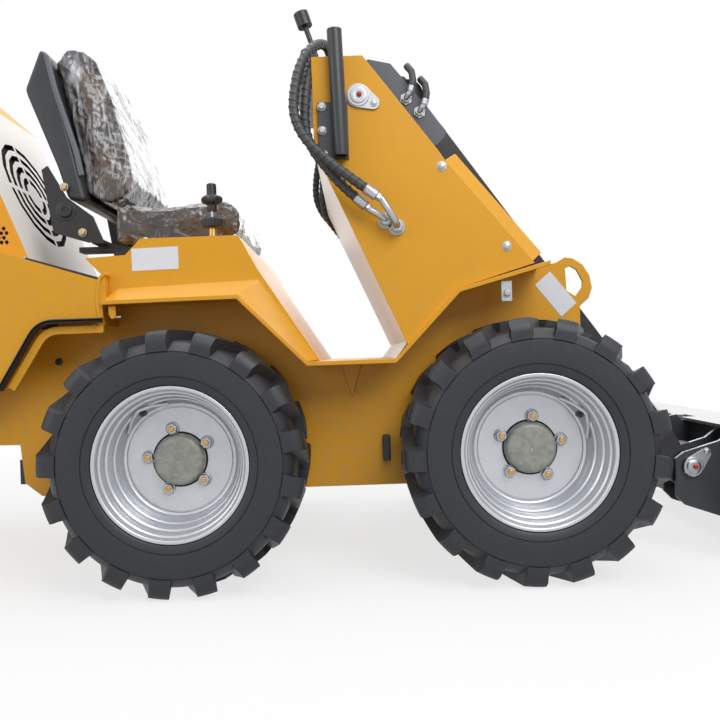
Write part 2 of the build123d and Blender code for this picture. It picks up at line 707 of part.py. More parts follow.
with BuildPart() as bucket_shell:
    outer = bucket_section(0) + [(lip_x - 90, bucket_floor)]
    inner_line = bucket_section(bucket_plate) + [(lip_x - 90, bucket_floor + bucket_plate)]
    add(xz_slab(outer + inner_line[::-1], -bucket_half, bucket_half))
    side_plate = bucket_section(0) + [(lip_x - 60, bucket_floor),
                                      (lip_x - 60, bucket_floor + 50), (1150, bucket_top - 20)]
    for cheek in both_sides(xz_slab(side_plate, bucket_half - bucket_plate, bucket_half)):
        add(cheek)
    # The mounting plate and hook behind the shell
    add(xz_slab([(coupler_face, 80), (bucket_back_x, 80), (bucket_back_x + 60, 80),
                 (bucket_back_x + 60, 60), (bucket_back_x + 4, 60), (coupler_face, 70)],
                -290, 290))
    add(block(coupler_face, bucket_back_x + 1, -290, 290, 79, bucket_top - 7))
    for hook in both_sides(block(coupler_face - 30, bucket_back_x + 1, rod_gap, 290,
                                 bucket_top - 8, bucket_top)):
        add(hook)
keep(bucket_shell, "bucket_shell")

with BuildPart() as cutting_edge:
    add(xz_slab([(lip_x - 90, bucket_floor), (lip_x - 90, bucket_floor + bucket_plate),
                 (lip_x - 60, bucket_floor + 16), (lip_x, bucket_floor),
                 (lip_x - 60, bucket_floor)],
                -bucket_half + bucket_plate, bucket_half - bucket_plate))
keep(cutting_edge, "cutting_edge")


# Hoses: two on each side, from over the tower's top down to fittings on the side plate
def hose(points, radius):
    """A hose along straight runs joined by the largest tangent arcs, with an eight-sided skin."""
    vectors = [Vector(*p) for p in points]
    radii = []
    for before, corner, after in zip(vectors, vectors[1:], vectors[2:]):
        turn = math.radians((corner - before).get_angle(after - corner))
        shorter = min((corner - before).length, (after - corner).length)
        radii.append(0.45 * shorter / math.tan(turn / 2))
    print("hose radii", [round(r) for r in radii])
    with BuildPart() as tube:
        with BuildLine() as path:
            FilletPolyline(*points, radius=radii)
        with BuildSketch(Plane(origin=points[0], z_dir=vectors[1] - vectors[0])):
            RegularPolygon(radius, 8)
        sweep()
    return tube.part


hose_radius = 10.5
hose_routes = {
    "hose_rear": [(-60, 192, 1226), (-64, 252, 1232), (-72, 312, 1226), (-84, 364, 1198),
                  (-103, 396, 1150), (-121, 413, 1090), (-127, 425, 1026), (-104, 434, 968),
                  (-54, 440, 916), (-6, 440, 878), (41, 438, 845)],
    "hose_front": [(-24, 192, 1256), (-30, 258, 1264), (-42, 324, 1256), (-68, 384, 1224),
                   (-94, 418, 1172), (-106, 438, 1106), (-108, 450, 1044), (-84, 459, 988),
                   (-36, 464, 938), (14, 464, 898), (64, 460, 862)],
}
for hose_name, route in hose_routes.items():
    for side_name, side in (("left", 1), ("right", -1)):
        with BuildPart() as hose_tube:
            add(hose([(x, side * y, z) for x, y, z in route], hose_radius))
        keep(hose_tube, f"{hose_name}_{side_name}")

fitting_radius = 11.5
with BuildPart() as hose_fittings:
    for side in (1, -1):
        for (x, y, z), (foot_x, foot_z) in ((hose_routes["hose_rear"][-1], (88, 813)),
                                            (hose_routes["hose_front"][-1], (112, 797))):
            add(bar_between((x, side * y, z), (foot_x, side * y, foot_z), fitting_radius))
            add(bar_between((foot_x, side * tower_half, foot_z),
                            (foot_x, side * (y + fitting_radius), foot_z), fitting_radius))
keep(hose_fittings, "hose_fittings")
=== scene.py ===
"""The dressed skid steer loader: finishes, fasteners, tyres, hoses, seat and stage round the
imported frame. Positions in the code are millimetres in the frame's own axes unless a name says
otherwise; meshes are made in metres.
"""
import bmesh
import bpy
import json
import math
from bpy.props import FloatProperty, FloatVectorProperty, PointerProperty
from mathutils import Matrix, Vector, noise

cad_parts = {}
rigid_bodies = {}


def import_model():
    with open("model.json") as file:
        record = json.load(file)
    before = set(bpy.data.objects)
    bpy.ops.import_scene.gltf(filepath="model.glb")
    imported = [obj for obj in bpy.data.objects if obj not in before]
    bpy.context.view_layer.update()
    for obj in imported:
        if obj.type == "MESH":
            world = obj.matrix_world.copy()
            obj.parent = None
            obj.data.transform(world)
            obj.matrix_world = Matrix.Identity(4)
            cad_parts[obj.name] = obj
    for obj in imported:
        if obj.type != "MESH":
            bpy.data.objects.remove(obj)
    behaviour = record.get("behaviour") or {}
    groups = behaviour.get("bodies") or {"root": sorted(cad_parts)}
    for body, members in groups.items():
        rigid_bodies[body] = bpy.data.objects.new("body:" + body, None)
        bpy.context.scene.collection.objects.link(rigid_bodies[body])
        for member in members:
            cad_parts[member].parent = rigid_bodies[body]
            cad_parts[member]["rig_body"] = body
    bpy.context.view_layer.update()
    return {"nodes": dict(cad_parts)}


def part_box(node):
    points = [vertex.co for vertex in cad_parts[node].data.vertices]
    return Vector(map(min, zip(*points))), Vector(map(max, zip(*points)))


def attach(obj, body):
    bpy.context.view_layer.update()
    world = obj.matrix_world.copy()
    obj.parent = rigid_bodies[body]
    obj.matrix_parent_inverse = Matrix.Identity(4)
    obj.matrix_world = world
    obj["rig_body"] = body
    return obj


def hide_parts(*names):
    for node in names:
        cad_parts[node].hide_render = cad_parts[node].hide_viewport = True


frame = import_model()

bl_info = {
    "name": "Skid steer loader",
    "version": (1, 0, 0),
    "blender": (4, 5, 0),
    "location": "View3D > Sidebar > Loader",
    "description": "Dresses the loader's frame with its finishes and detailed pieces",
    "category": "Object",
}

MM = 0.001
PHOTO_SIDE = 720


# Sizes and colours a user may change
def length(name, description, default):
    """A length property in metres."""
    return FloatProperty(name=name, description=description, default=default, min=0.0,
                         subtype="DISTANCE", unit="LENGTH")


def tint(name, description, default):
    """A linear colour property."""
    return FloatVectorProperty(name=name, description=description, default=default, size=3,
                               min=0.0, max=1.0, subtype="COLOR")


class LoaderSizes(bpy.types.PropertyGroup):
    edge_round: length("Edge round", "Width of the rounded edge of sheet and plate", 0.0012)
    groove: length("Sidewall groove", "Depth of the thin grooves in the tyre's wall", 0.0018)
    hose: length("Hose", "Outside diameter of the hydraulic hoses", 0.021)
    wrap_pitch: length("Wrap pitch", "Distance between the ridges of the hose wrap", 0.0172)
    swell: length("Cushion swell", "How far a cushion may swell from its cut shape", 0.011)
    wrinkle: length("Film wrinkle", "Height of the wrinkles in the seat's clear film", 0.0026)


class LoaderColours(bpy.types.PropertyGroup):
    yellow: tint("Yellow", "Sheet metal paint", (0.82, 0.385, 0.012))
    # The hood front and tower wall are yellow; this pale colour is a painted highlight of light
    # falling on them.
    cream: tint("Cream", "Yellow of the hood front and tower wall, painted pale as lit", (0.80, 0.76, 0.70))
    black: tint("Black", "Boom and bracket paint", (0.016, 0.017, 0.019))
    slate: tint("Slate", "Coupler paint", (0.040, 0.046, 0.055))
    cheek: tint("Cheek grey", "Boom cheek plates and rails", (0.115, 0.125, 0.145))
    silver: tint("Rim silver", "Wheel rim paint", (0.60, 0.62, 0.66))
    rubber: tint("Rubber", "Tyre rubber", (0.017, 0.020, 0.025))
    vinyl: tint("Vinyl", "Seat cover", (0.026, 0.023, 0.022))
    plastic: tint("Plastic", "Seat back shell", (0.030, 0.033, 0.039))
    label: tint("Label", "Blank label plates", (0.84, 0.86, 0.92))


# Shader graphs written as expressions
class Value:
    """A node's output socket that takes part in expressions."""

    def __init__(self, finish, socket):
        self.finish = finish
        self.socket = socket

    def maths(self, operation, *others):
        return self.finish.node("ShaderNodeMath", {"operation": operation},
                                dict(enumerate(others)))

    def __add__(self, other):
        return self.maths("ADD", self, other)

    def __sub__(self, other):
        return self.maths("SUBTRACT", self, other)

    def __rsub__(self, other):
        return self.maths("SUBTRACT", other, self)

    def __mul__(self, other):
        return self.maths("MULTIPLY", self, other)

    def __truediv__(self, other):
        return self.maths("DIVIDE", self, other)

    def __gt__(self, other):
        return self.maths("GREATER_THAN", self, other)

    def __pow__(self, other):
        return self.maths("POWER", self, other)

    __radd__ = __add__
    __rmul__ = __mul__

    def clipped(self, low, high):
        """This value stretched so that low becomes 0 and high becomes 1, and kept between."""
        return self.finish.node("ShaderNodeMapRange", {"clamp": True},
                                {"Value": self, "From Min": low, "From Max": high})


class Finish:
    """One procedural material, built on its Principled shader."""

    def __init__(self, name, constants):
        self.material = bpy.data.materials.new(name)
        self.material.use_nodes = True
        self.tree = self.material.node_tree
        self.shader = self.tree.nodes["Principled BSDF"]
        for socket, value in constants.items():
            self.shader.inputs[socket].default_value = value
        self.place = self.node("ShaderNodeTexCoord", out="Object")

    def node(self, kind, settings=None, values=None, out=0):
        """Any node: its settings first, then its sockets' values or links."""
        made = self.tree.nodes.new(kind)
        for key, value in (settings or {}).items():
            if key == "stops":
                elements = made.color_ramp.elements
                elements.remove(elements[1])
                elements[0].position, elements[0].color = value[0][0], (*value[0][1], 1)
                for position, colour in value[1:]:
                    elements.new(position).color = (*colour, 1)
            else:
                setattr(made, key, value)
        for key, value in (values or {}).items():
            if isinstance(value, Value):
                self.tree.links.new(value.socket, made.inputs[key])
            else:
                made.inputs[key].default_value = value
        return Value(self, made.outputs[out])

    def grain(self, scale, detail=2.0, stretch=(1, 1, 1), rough=0.55, distortion=0.0):
        """Noise from 0 to 1 over the piece, in cycles a metre."""
        place = self.place
        if stretch != (1, 1, 1):
            place = self.node("ShaderNodeVectorMath", {"operation": "MULTIPLY"},
                              {0: place, 1: stretch})
        return self.node("ShaderNodeTexNoise", {}, {
            "Vector": place, "Scale": scale, "Detail": detail, "Roughness": rough,
            "Distortion": distortion})

    def cells(self, scale, feature="F1"):
        """Distance to the nearest cell centre."""
        return self.node("ShaderNodeTexVoronoi", {"feature": feature},
                         {"Vector": self.place, "Scale": scale})

    def edges(self, radius):
        """1 on a worn edge and 0 on a flat face."""
        rounded = self.node("ShaderNodeBevel", {"samples": 4}, {"Radius": radius})
        flat = self.node("ShaderNodeNewGeometry", out="Normal")
        dot = self.node("ShaderNodeVectorMath", {"operation": "DOT_PRODUCT"},
                        {0: rounded, 1: flat}, out="Value")
        return (1 - dot).clipped(0.02, 0.22)

    def height(self):
        """How far up the piece is, in metres."""
        return self.node("ShaderNodeSeparateXYZ", {}, {0: self.place}, out="Z")

    def mix(self, factor, first, second):
        """A colour between two colours."""
        sides = {0: factor, 6: first, 7: second}
        return self.node("ShaderNodeMix", {"data_type": "RGBA"},
                         {key: (*value, 1) if isinstance(value, tuple) else value
                          for key, value in sides.items()}, out=2)

    def set(self, socket, value):
        self.tree.links.new(value.socket, self.shader.inputs[socket])

    def bump(self, height, strength, distance):
        """Relief on the shader's normal, distance in metres."""
        self.set("Normal", self.node("ShaderNodeBump", {}, {
            "Height": height, "Strength": strength, "Distance": distance}))


def shade(colour, factor):
    """The same colour, lighter or darker."""
    return tuple(min(1.0, c * factor) for c in colour)


def painted(name, colour, roughness=0.42, worn=(0.22, 0.2, 0.18), wear=0.35, dust=0.10,
            dust_colour=(0.42, 0.36, 0.28), orange_peel=0.25, coat=0.2, metal=0.0):
    """Sprayed paint on steel: shade drift, dust low down, rubbed edges and fine orange peel."""
    paint = Finish(name, {"Coat Weight": coat, "Coat Roughness": 0.2, "Metallic": metal,
                          "Specular IOR Level": 0.35})
    drift = paint.grain(2.3, 3.0)
    mottle = paint.grain(38, 4.0)
    speck = paint.grain(260, 3.0)
    base = paint.mix(drift, shade(colour, 0.93), shade(colour, 1.05))
    base = paint.mix(mottle.clipped(0.35, 0.75) * 0.22, base, shade(colour, 0.86))
    settled = (1 - paint.height().clipped(0.1, 0.9)) * mottle.clipped(0.4, 0.8) * dust * 2.2
    base = paint.mix(settled + speck.clipped(0.62, 0.8) * dust, base, dust_colour)
    rubbed = paint.edges(0.0022) * speck.clipped(0.42, 0.62) * wear
    scratch = paint.grain(55, 2.0, (1, 1, 14)).clipped(0.715, 0.735) * wear * 0.5
    base = paint.mix((rubbed + scratch).clipped(0, 1), base, worn)
    paint.set("Base Color", base)
    paint.set("Roughness", (roughness - 0.06) + mottle * 0.12 + settled * 0.4)
    paint.bump(paint.grain(520, 1.0) * 0.6 + speck * 0.4, orange_peel, 0.00025)
    return paint.material


def moulded(name, colour, roughness=0.5, texture=900, scuff=(0.16, 0.16, 0.17), amount=0.3):
    """Moulded plastic with a fine leather-like texture and pale scuffs."""
    plastic = Finish(name, {"Specular IOR Level": 0.45})
    drift = plastic.grain(6, 4.0)
    fine = plastic.cells(texture)
    base = plastic.mix(drift, shade(colour, 0.82), shade(colour, 1.2))
    marks = plastic.grain(30, 5.0, (1, 5, 1)).clipped(0.6, 0.75) * amount * 0.4
    marks = marks + plastic.edges(0.0025) * drift * amount
    plastic.set("Base Color", plastic.mix(marks.clipped(0, 1), base, scuff))
    plastic.set("Roughness", (roughness - 0.07) + drift * 0.16)
    plastic.bump(fine, 0.3, 0.0003)
    return plastic.material


def rubbery(name, colour, dusty=(0.070, 0.054, 0.040), amount=0.4):
    """Tyre and hose rubber: dull blue-black with moulding marks, bloom and dry dust."""
    rubber = Finish(name, {"Specular IOR Level": 0.5})
    drift = rubber.grain(7, 4.0)
    bloom = rubber.grain(42, 5.0, distortion=0.6)
    base = rubber.mix(drift, shade(colour, 0.78), shade(colour, 1.25))
    base = rubber.mix(bloom.clipped(0.55, 0.85) * amount, base, dusty)
    rubbed = rubber.edges(0.004) * rubber.grain(120, 3.0) * 0.55
    rubber.set("Base Color", rubber.mix(rubbed, base, shade(colour, 2.4)))
    rubber.set("Roughness", 0.36 + bloom * 0.26)
    rubber.bump(rubber.grain(650, 3.0) * 0.7 + bloom * 0.3, 0.35, 0.0005)
    return rubber.material


def plated(name, colour, roughness=0.28, tarnish=(0.30, 0.29, 0.27), amount=0.45):
    """Bare or plated metal with brushed grain, stains and brighter edges."""
    metal = Finish(name, {})
    stain = metal.grain(70, 5.0, distortion=0.4)
    brush = metal.grain(300, 2.0, (1, 1, 0.08))
    base = metal.mix(stain.clipped(0.45, 0.8) * amount, colour, tarnish)
    metal.set("Base Color", metal.mix(metal.edges(0.0012) * 0.5, base, shade(colour, 1.25)))
    metal.set("Metallic", 1 - stain.clipped(0.55, 0.95) * 0.25)
    metal.set("Roughness", (roughness - 0.08) + stain * 0.2 + brush * 0.08)
    metal.bump(brush * 0.5 + stain * 0.5, 0.2, 0.0003)
    return metal.material


def cast(name, colour, blotch):
    """Cast iron cap under thin paint, with darker blotches and a pitted skin."""
    iron = Finish(name, {"Specular IOR Level": 0.5})
    patches = iron.grain(34, 5.0, distortion=1.2)
    pits = iron.cells(260)
    base = iron.mix(patches.clipped(0.42, 0.6), colour, blotch)
    iron.set("Base Color", iron.mix(iron.edges(0.002) * 0.6, base, shade(colour, 1.6)))
    iron.set("Metallic", patches.clipped(0.3, 0.8) * 0.5)
    iron.set("Roughness", 0.34 + patches * 0.25)
    iron.bump(pits + patches, 0.45, 0.0007)
    return iron.material


def filmed(name, colour, reflection_share, streak, reflection_colour=(0.42, 0.44, 0.48)):
    """Grained vinyl seen through tight clear film that creases; pale streaks on the creases are
    painted reflections of the film.
    """
    film = Finish(name, {"Coat Weight": 0.6, "Coat Roughness": 0.1,
                         "Specular IOR Level": 0.5})
    creases = film.grain(11, 4.0, streak, 0.6, 1.2)
    folds = film.grain(24, 3.0, streak, 0.5, 1.8)
    brown = film.grain(9, 3.0)
    base = film.mix(brown.clipped(0.4, 0.65), colour, (0.085, 0.055, 0.036))
    # Pale streaks along the creases and folds: painted reflections of the clear film.
    painted_reflection = creases.clipped(0.62 - reflection_share * 0.25, 0.80 - reflection_share * 0.22) * 0.85
    painted_reflection = (painted_reflection + folds.clipped(0.60, 0.72) * (0.3 + 0.5 * reflection_share)).clipped(0, 1)
    film.set("Base Color", film.mix(painted_reflection, base, reflection_colour))
    film.set("Roughness", 0.24 + brown * 0.14)
    film.bump(creases * 0.6 + folds * 0.4, 0.55, 0.004)
    return film.material


def label_plate(name, colour):
    """A blank printed label with a thin grey border shade and dust."""
    label = Finish(name, {"Coat Weight": 0.5, "Coat Roughness": 0.12})
    fleck = label.grain(90, 4.0)
    base = label.mix(fleck.clipped(0.5, 0.8) * 0.35, colour, shade(colour, 0.82))
    label.set("Base Color", label.mix(label.edges(0.002) * 0.6, base, (0.35, 0.36, 0.4)))
    label.set("Roughness", 0.3 + fleck * 0.12)
    label.bump(label.grain(35, 2.0), 0.15, 0.0006)
    return label.material


def finishes(colours):
    """Every finish by its plain name, made once."""
    if "yellow" in made_finishes:
        return made_finishes
    yellow, black, slate = tuple(colours.yellow), tuple(colours.black), tuple(colours.slate)
    made_finishes.update({
        "yellow": painted("Yellow sheet paint", yellow, 0.42, (0.30, 0.16, 0.05)),
        # Pale yellow: a painted highlight on the hood front and tower wall.
        "cream": painted("Yellow with painted highlight", tuple(colours.cream), 0.4, (0.5, 0.4, 0.28)),
        "rail": painted("Black rail tube", (0.036, 0.038, 0.042), 0.4, (0.2, 0.2, 0.2), dust=0.04),
        "bracket": painted("Grey bracket paint", (0.072, 0.077, 0.087), 0.42, (0.3, 0.3, 0.3),
                           dust=0.05),
        "black": painted("Black frame paint", black, 0.38, (0.12, 0.12, 0.12), dust=0.05,
                         dust_colour=(0.14, 0.13, 0.12)),
        "cheek": painted("Grey plate paint", tuple(colours.cheek), 0.45, (0.3, 0.3, 0.31),
                         dust=0.05),
        "slate": painted("Slate coupler paint", slate, 0.4, (0.2, 0.2, 0.21), dust=0.04,
                         dust_colour=(0.16, 0.15, 0.14)),
        # Near-white for faces turned upwards: a painted highlight.
        "painted_top_highlight": painted("Painted highlight on upward faces", (0.72, 0.73, 0.75), 0.35, (0.3, 0.3, 0.31)),
        "silver": painted("Silver rim paint", tuple(colours.silver), 0.30, (0.32, 0.32, 0.33),
                          dust=0.05, dust_colour=(0.36, 0.33, 0.30), coat=0.5, metal=0.55),
        "rubber": rubbery("Tyre rubber", tuple(colours.rubber)),
        "hose": rubbery("Hose rubber", (0.040, 0.042, 0.047), (0.11, 0.11, 0.11), 0.25),
        "strip": rubbery("Edge rubber", (0.017, 0.018, 0.020), (0.06, 0.06, 0.06), 0.2),
        "plastic": moulded("Seat shell plastic", tuple(colours.plastic), 0.42),
        "band": moulded("Seat edge trim", (0.13, 0.14, 0.155), 0.45),
        "grip": moulded("Black grip plastic", (0.014, 0.015, 0.017), 0.34),
        "zinc": plated("Zinc plate", (0.43, 0.44, 0.46), 0.32, (0.2, 0.2, 0.19)),
        "gold": plated("Yellow zinc plate", (0.46, 0.40, 0.27), 0.32, (0.30, 0.25, 0.16)),
        "bronze": plated("Bronze stem", (0.56, 0.34, 0.13), 0.24, (0.25, 0.13, 0.05)),
        "chrome": plated("Chromed rod", (0.74, 0.75, 0.77), 0.12, (0.5, 0.5, 0.5), 0.2),
        "steel": plated("Worn bucket steel", (0.22, 0.22, 0.225), 0.42, (0.15, 0.11, 0.08), 0.6),
        "iron": cast("Hub cap iron", (0.36, 0.37, 0.325), (0.27, 0.28, 0.245)),
        "dark": cast("Dark drive iron", (0.030, 0.031, 0.033), (0.018, 0.018, 0.019)),
        "red": moulded("Red grease cap", (0.62, 0.03, 0.025), 0.35, amount=0.1),
        # The covers' pale streaks are painted reflections of their film, more of them on the back.
        "vinyl": filmed("Seat vinyl under film", tuple(colours.vinyl), 0.15,
                        (1.6, 0.6, 2.4)),
        "vinyl_back": filmed("Back vinyl under film", (0.050, 0.048, 0.050), 0.55, (3.0, 1.4, 0.5),
                             (0.50, 0.52, 0.56)),
        "label": label_plate("Blank label", tuple(colours.label)),
        # Near-black for painted shadow in gaps, holes, slots and behind openings.
        "shadow": moulded("Painted shadow black", (0.006, 0.006, 0.006), 0.8, amount=0.05),
    })
    return made_finishes


made_finishes = {}


# Shapes, gathered in millimetres
class Shape:
    """Points and faces of one piece, gathered from simple forms."""

    def __init__(self):
        self.points, self.faces, self.marks = [], [], []

    def add(self, points, faces, mark=0):
        start = len(self.points)
        self.points += [Vector(p) for p in points]
        self.faces += [[start + i for i in face] for face in faces]
        self.marks += [mark] * len(faces)

    def loft(self, sections, mark=0, ring=False, closed=True):
        """A skin over matching sections; a ring joins up, otherwise the ends are capped."""
        size = len(sections[0])
        points = [p for section in sections for p in section]
        faces = []
        pairs = len(sections) if ring else len(sections) - 1
        for k in range(pairs):
            here, there = k * size, (k + 1) % len(sections) * size
            for i in range(size if closed else size - 1):
                j = (i + 1) % size
                faces.append([here + i, here + j, there + j, there + i])
        if not ring and closed:
            faces.append(list(range(size)))
            faces.append(list(range(len(points) - size, len(points))))
        self.add(points, faces, mark)

    def slab(self, outline, low, high, mark=0):
        """An outline in X and Z between two Y values."""
        self.loft([[(x, y, z) for x, z in outline] for y in (low, high)], mark)

    def block(self, x_low, x_high, y_low, y_high, z_low, z_high, mark=0):
        self.slab([(x_low, z_low), (x_high, z_low), (x_high, z_high), (x_low, z_high)],
                  y_low, y_high, mark)

    def lathe(self, start, direction, profile, sides=28, turn=0.0, mark=0):
        """Distances along a direction and radii, turned about it."""
        forward = Vector(direction).normalized()
        helper = Vector((0, 0, 1)) if abs(forward.z) < 0.9 else Vector((1, 0, 0))
        side = helper.cross(forward).normalized()
        up = forward.cross(side)
        sections = []
        for distance, radius in profile:
            centre = Vector(start) + forward * distance
            sections.append([
                centre + (side * math.sin(a) + up * math.cos(a)) * max(radius, 0.05)
                for a in (math.radians(turn) + math.tau * i / sides for i in range(sides))])
        self.loft(sections, mark)

    def sweep(self, path, section, mark=0):
        """A section of (sideways, Y) offsets carried along a path of (x, z) points."""
        sections = []
        for k, here in enumerate(path):
            before, after = path[max(k - 1, 0)], path[min(k + 1, len(path) - 1)]
            run = Vector((after[0] - before[0], after[1] - before[1])).normalized()
            reach = 1.0
            if 0 < k < len(path) - 1:
                into = Vector((here[0] - before[0], here[1] - before[1])).normalized()
                reach = 1 / max(0.5, run.dot(into))
            sections.append([(here[0] - run.y * u * reach, y, here[1] + run.x * u * reach)
                             for u, y in section])
        self.loft(sections, mark)

    def pipe(self, path, radius, sides=12, mark=0):
        """A round pipe through points in space."""
        vectors = [Vector(p) for p in path]
        run = (vectors[1] - vectors[0]).normalized()
        side = run.orthogonal().normalized()
        sections = []
        for k, here in enumerate(vectors):
            run = (vectors[min(k + 1, len(vectors) - 1)] - vectors[max(k - 1, 0)]).normalized()
            side = (side - run * side.dot(run)).normalized()
            up = run.cross(side)
            sections.append([here + (side * math.cos(a) + up * math.sin(a)) * radius
                             for a in (math.tau * i / sides for i in range(sides))])
        self.loft(sections, mark)

    def bolt(self, point, direction, size, mark=0, turn=10.0):
        """A washer and a hexagon head with a chamfer; size is the head's corner radius."""
        self.lathe(point, direction, [(-0.5, size * 1.2), (size * 0.18, size * 1.2),
                                      (size * 0.24, size * 1.1)], 28, 0, mark)
        self.lathe(point, direction, [(0, size * 0.95), (size * 0.25, size), (size * 0.8, size),
                                      (size * 0.95, size * 0.86)], 6, turn, mark)
        self.lathe(point, direction, [(0, size * 0.8), (size * 0.98, size * 0.72),
                                      (size * 1.02, size * 0.6)], 24, 0, mark)

    def dome(self, point, direction, radius, mark=0):
        """A low round-headed bolt on a washer."""
        self.lathe(point, direction, [(-0.5, radius * 1.25), (1.4, radius * 1.25),
                                      (1.8, radius * 1.15)], 28, 0, mark)
        self.lathe(point, direction, [(0, radius), (radius * 0.35, radius * 0.97),
                                      (radius * 0.55, radius * 0.8), (radius * 0.66, radius * 0.45),
                                      (radius * 0.7, 0)], 24, 0, mark)


def rounded_path(points, radius, steps=6):
    """A run of (x, z) points with its corners rounded."""
    path = [points[0]]
    for before, corner, after in zip(points, points[1:], points[2:]):
        here = Vector(corner)
        into, out = (Vector(before) - here), (Vector(after) - here)
        cut = min(radius, into.length * 0.45, out.length * 0.45)
        start, end = here + into.normalized() * cut, here + out.normalized() * cut
        for k in range(steps + 1):
            t = k / steps
            path.append(tuple(start * (1 - t) ** 2 + here * (2 * t * (1 - t)) + end * t ** 2))
    return path + [points[-1]]


def settle(piece, marks, body, edge=0.0, nodes=()):
    """Gives a mesh piece its materials, rounded edges and body."""
    for mark in marks:
        piece.data.materials.append(finishes(bpy.context.scene.loader_colours)[mark])
    piece.data.shade_smooth()
    piece.data.set_sharp_from_angle(angle=math.radians(42))
    if edge:
        rounding = piece.modifiers.new("Rounded edges", "BEVEL")
        rounding.width = edge
        rounding.segments = 2
        rounding.limit_method = "ANGLE"
        rounding.angle_limit = math.radians(32)
        rounding.miter_outer = "MITER_ARC"
    weighted = piece.modifiers.new("Flat face shading", "WEIGHTED_NORMAL")
    weighted.keep_sharp = not edge
    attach(piece, body)
    if nodes:
        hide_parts(*nodes)
    return piece


def place(name, shape, marks, body, slot, edge=0.0, nodes=()):
    """Makes a shape into a piece of the loader."""
    mesh = bpy.data.meshes.new(name)
    mesh.from_pydata([p * MM for p in shape.points], [], shape.faces)
    for polygon, mark in zip(mesh.polygons, shape.marks):
        polygon.material_index = mark
    work = bmesh.new()
    work.from_mesh(mesh)
    bmesh.ops.recalc_face_normals(work, faces=work.faces)
    work.to_mesh(mesh)
    work.free()
    piece = bpy.data.objects.new(name, mesh)
    bpy.context.scene.collection.objects.link(piece)
    return settle(piece, marks if isinstance(marks, list) else [marks], body, edge, nodes)


def soften(node, marks, edge=None, choose=None, leave=None):
    """A copy of a rigid CAD node with whole flat faces and rounded edges stands for it.

    choose gives a face its material and leave says which faces are left out, both from the
    face's middle and normal.
    """
    source = frame["nodes"][node]
    work = bmesh.new()
    work.from_mesh(source.data)
    bmesh.ops.remove_doubles(work, verts=work.verts, dist=0.00003)
    bmesh.ops.dissolve_limit(work, angle_limit=math.radians(0.6), verts=work.verts,
                             edges=work.edges, use_dissolve_boundaries=False)
    bmesh.ops.recalc_face_normals(work, faces=work.faces)
    if leave:
        bmesh.ops.delete(work, geom=[f for f in work.faces if leave(f.calc_center_median())],
                         context="FACES")
    for face in work.faces:
        face.material_index = choose(face) if choose else 0
    mesh = bpy.data.meshes.new(node + "_shown")
    work.to_mesh(mesh)
    work.free()
    piece = bpy.data.objects.new(node + "_shown", mesh)
    bpy.context.scene.collection.objects.link(piece)
    if edge is None:
        edge = bpy.context.scene.loader_sizes.edge_round
    return settle(piece, marks if isinstance(marks, list) else [marks], source["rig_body"],
                  edge, (node,))


# Camera and hoses
class LOADER_OT_camera(bpy.types.Operator):
    """Set the camera where the photograph was taken"""
    bl_idname = "loader.camera"
    bl_label = "Camera"

    def execute(self, context):
        data = bpy.data.cameras.new("Photo camera")
        data.sensor_width = 36.0
        data.lens = 37.63
        data.shift_x = (PHOTO_SIDE / 2 - 358.3) / PHOTO_SIDE
        data.shift_y = (354.5 - PHOTO_SIDE / 2) / PHOTO_SIDE
        camera = bpy.data.objects.new("Photo camera", data)
        context.scene.collection.objects.link(camera)
        roll = math.radians(1.99)
        right = Vector((math.cos(roll), 0, -math.sin(roll)))
        up = Vector((math.sin(roll), 0, math.cos(roll)))
        turned = Matrix((right, up, Vector((0, -1, 0)))).transposed().to_4x4()
        camera.matrix_world = Matrix.Translation((0.01495, -2.116, 0.512)) @ turned
        context.scene.camera = camera
        return {"FINISHED"}


HOSE_ROUTES = {
    "hose_rear": [(-60, 192, 1226), (-64, 252, 1232), (-70, 312, 1226), (-74, 364, 1198),
                  (-77, 402, 1150), (-84, 424, 1095), (-89, 427, 1026), (-72, 434, 972),
                  (-38, 440, 926), (-4, 440, 884), (41, 438, 845)],
    "hose_front": [(-24, 192, 1256), (-30, 258, 1264), (-42, 324, 1256), (-68, 384, 1224),
                   (-94, 418, 1172), (-108, 438, 1106), (-111, 450, 1044), (-86, 459, 988),
                   (-36, 464, 938), (14, 464, 898), (64, 460, 862)],
}
HOSE_FEET = {"hose_rear": (88, 813), "hose_front": (112, 797)}


def along_line(points, step):
    """Points a step apart along a line, each with its direction and distance."""
    stations, walked, due = [], 0.0, 0.0
    for here, there in zip(points, points[1:]):
        run = (there - here).length
        while due <= walked + run:
            stations.append((here.lerp(there, (due - walked) / run), (there - here) / run, due))
            due += step
        walked += run
    return stations, walked


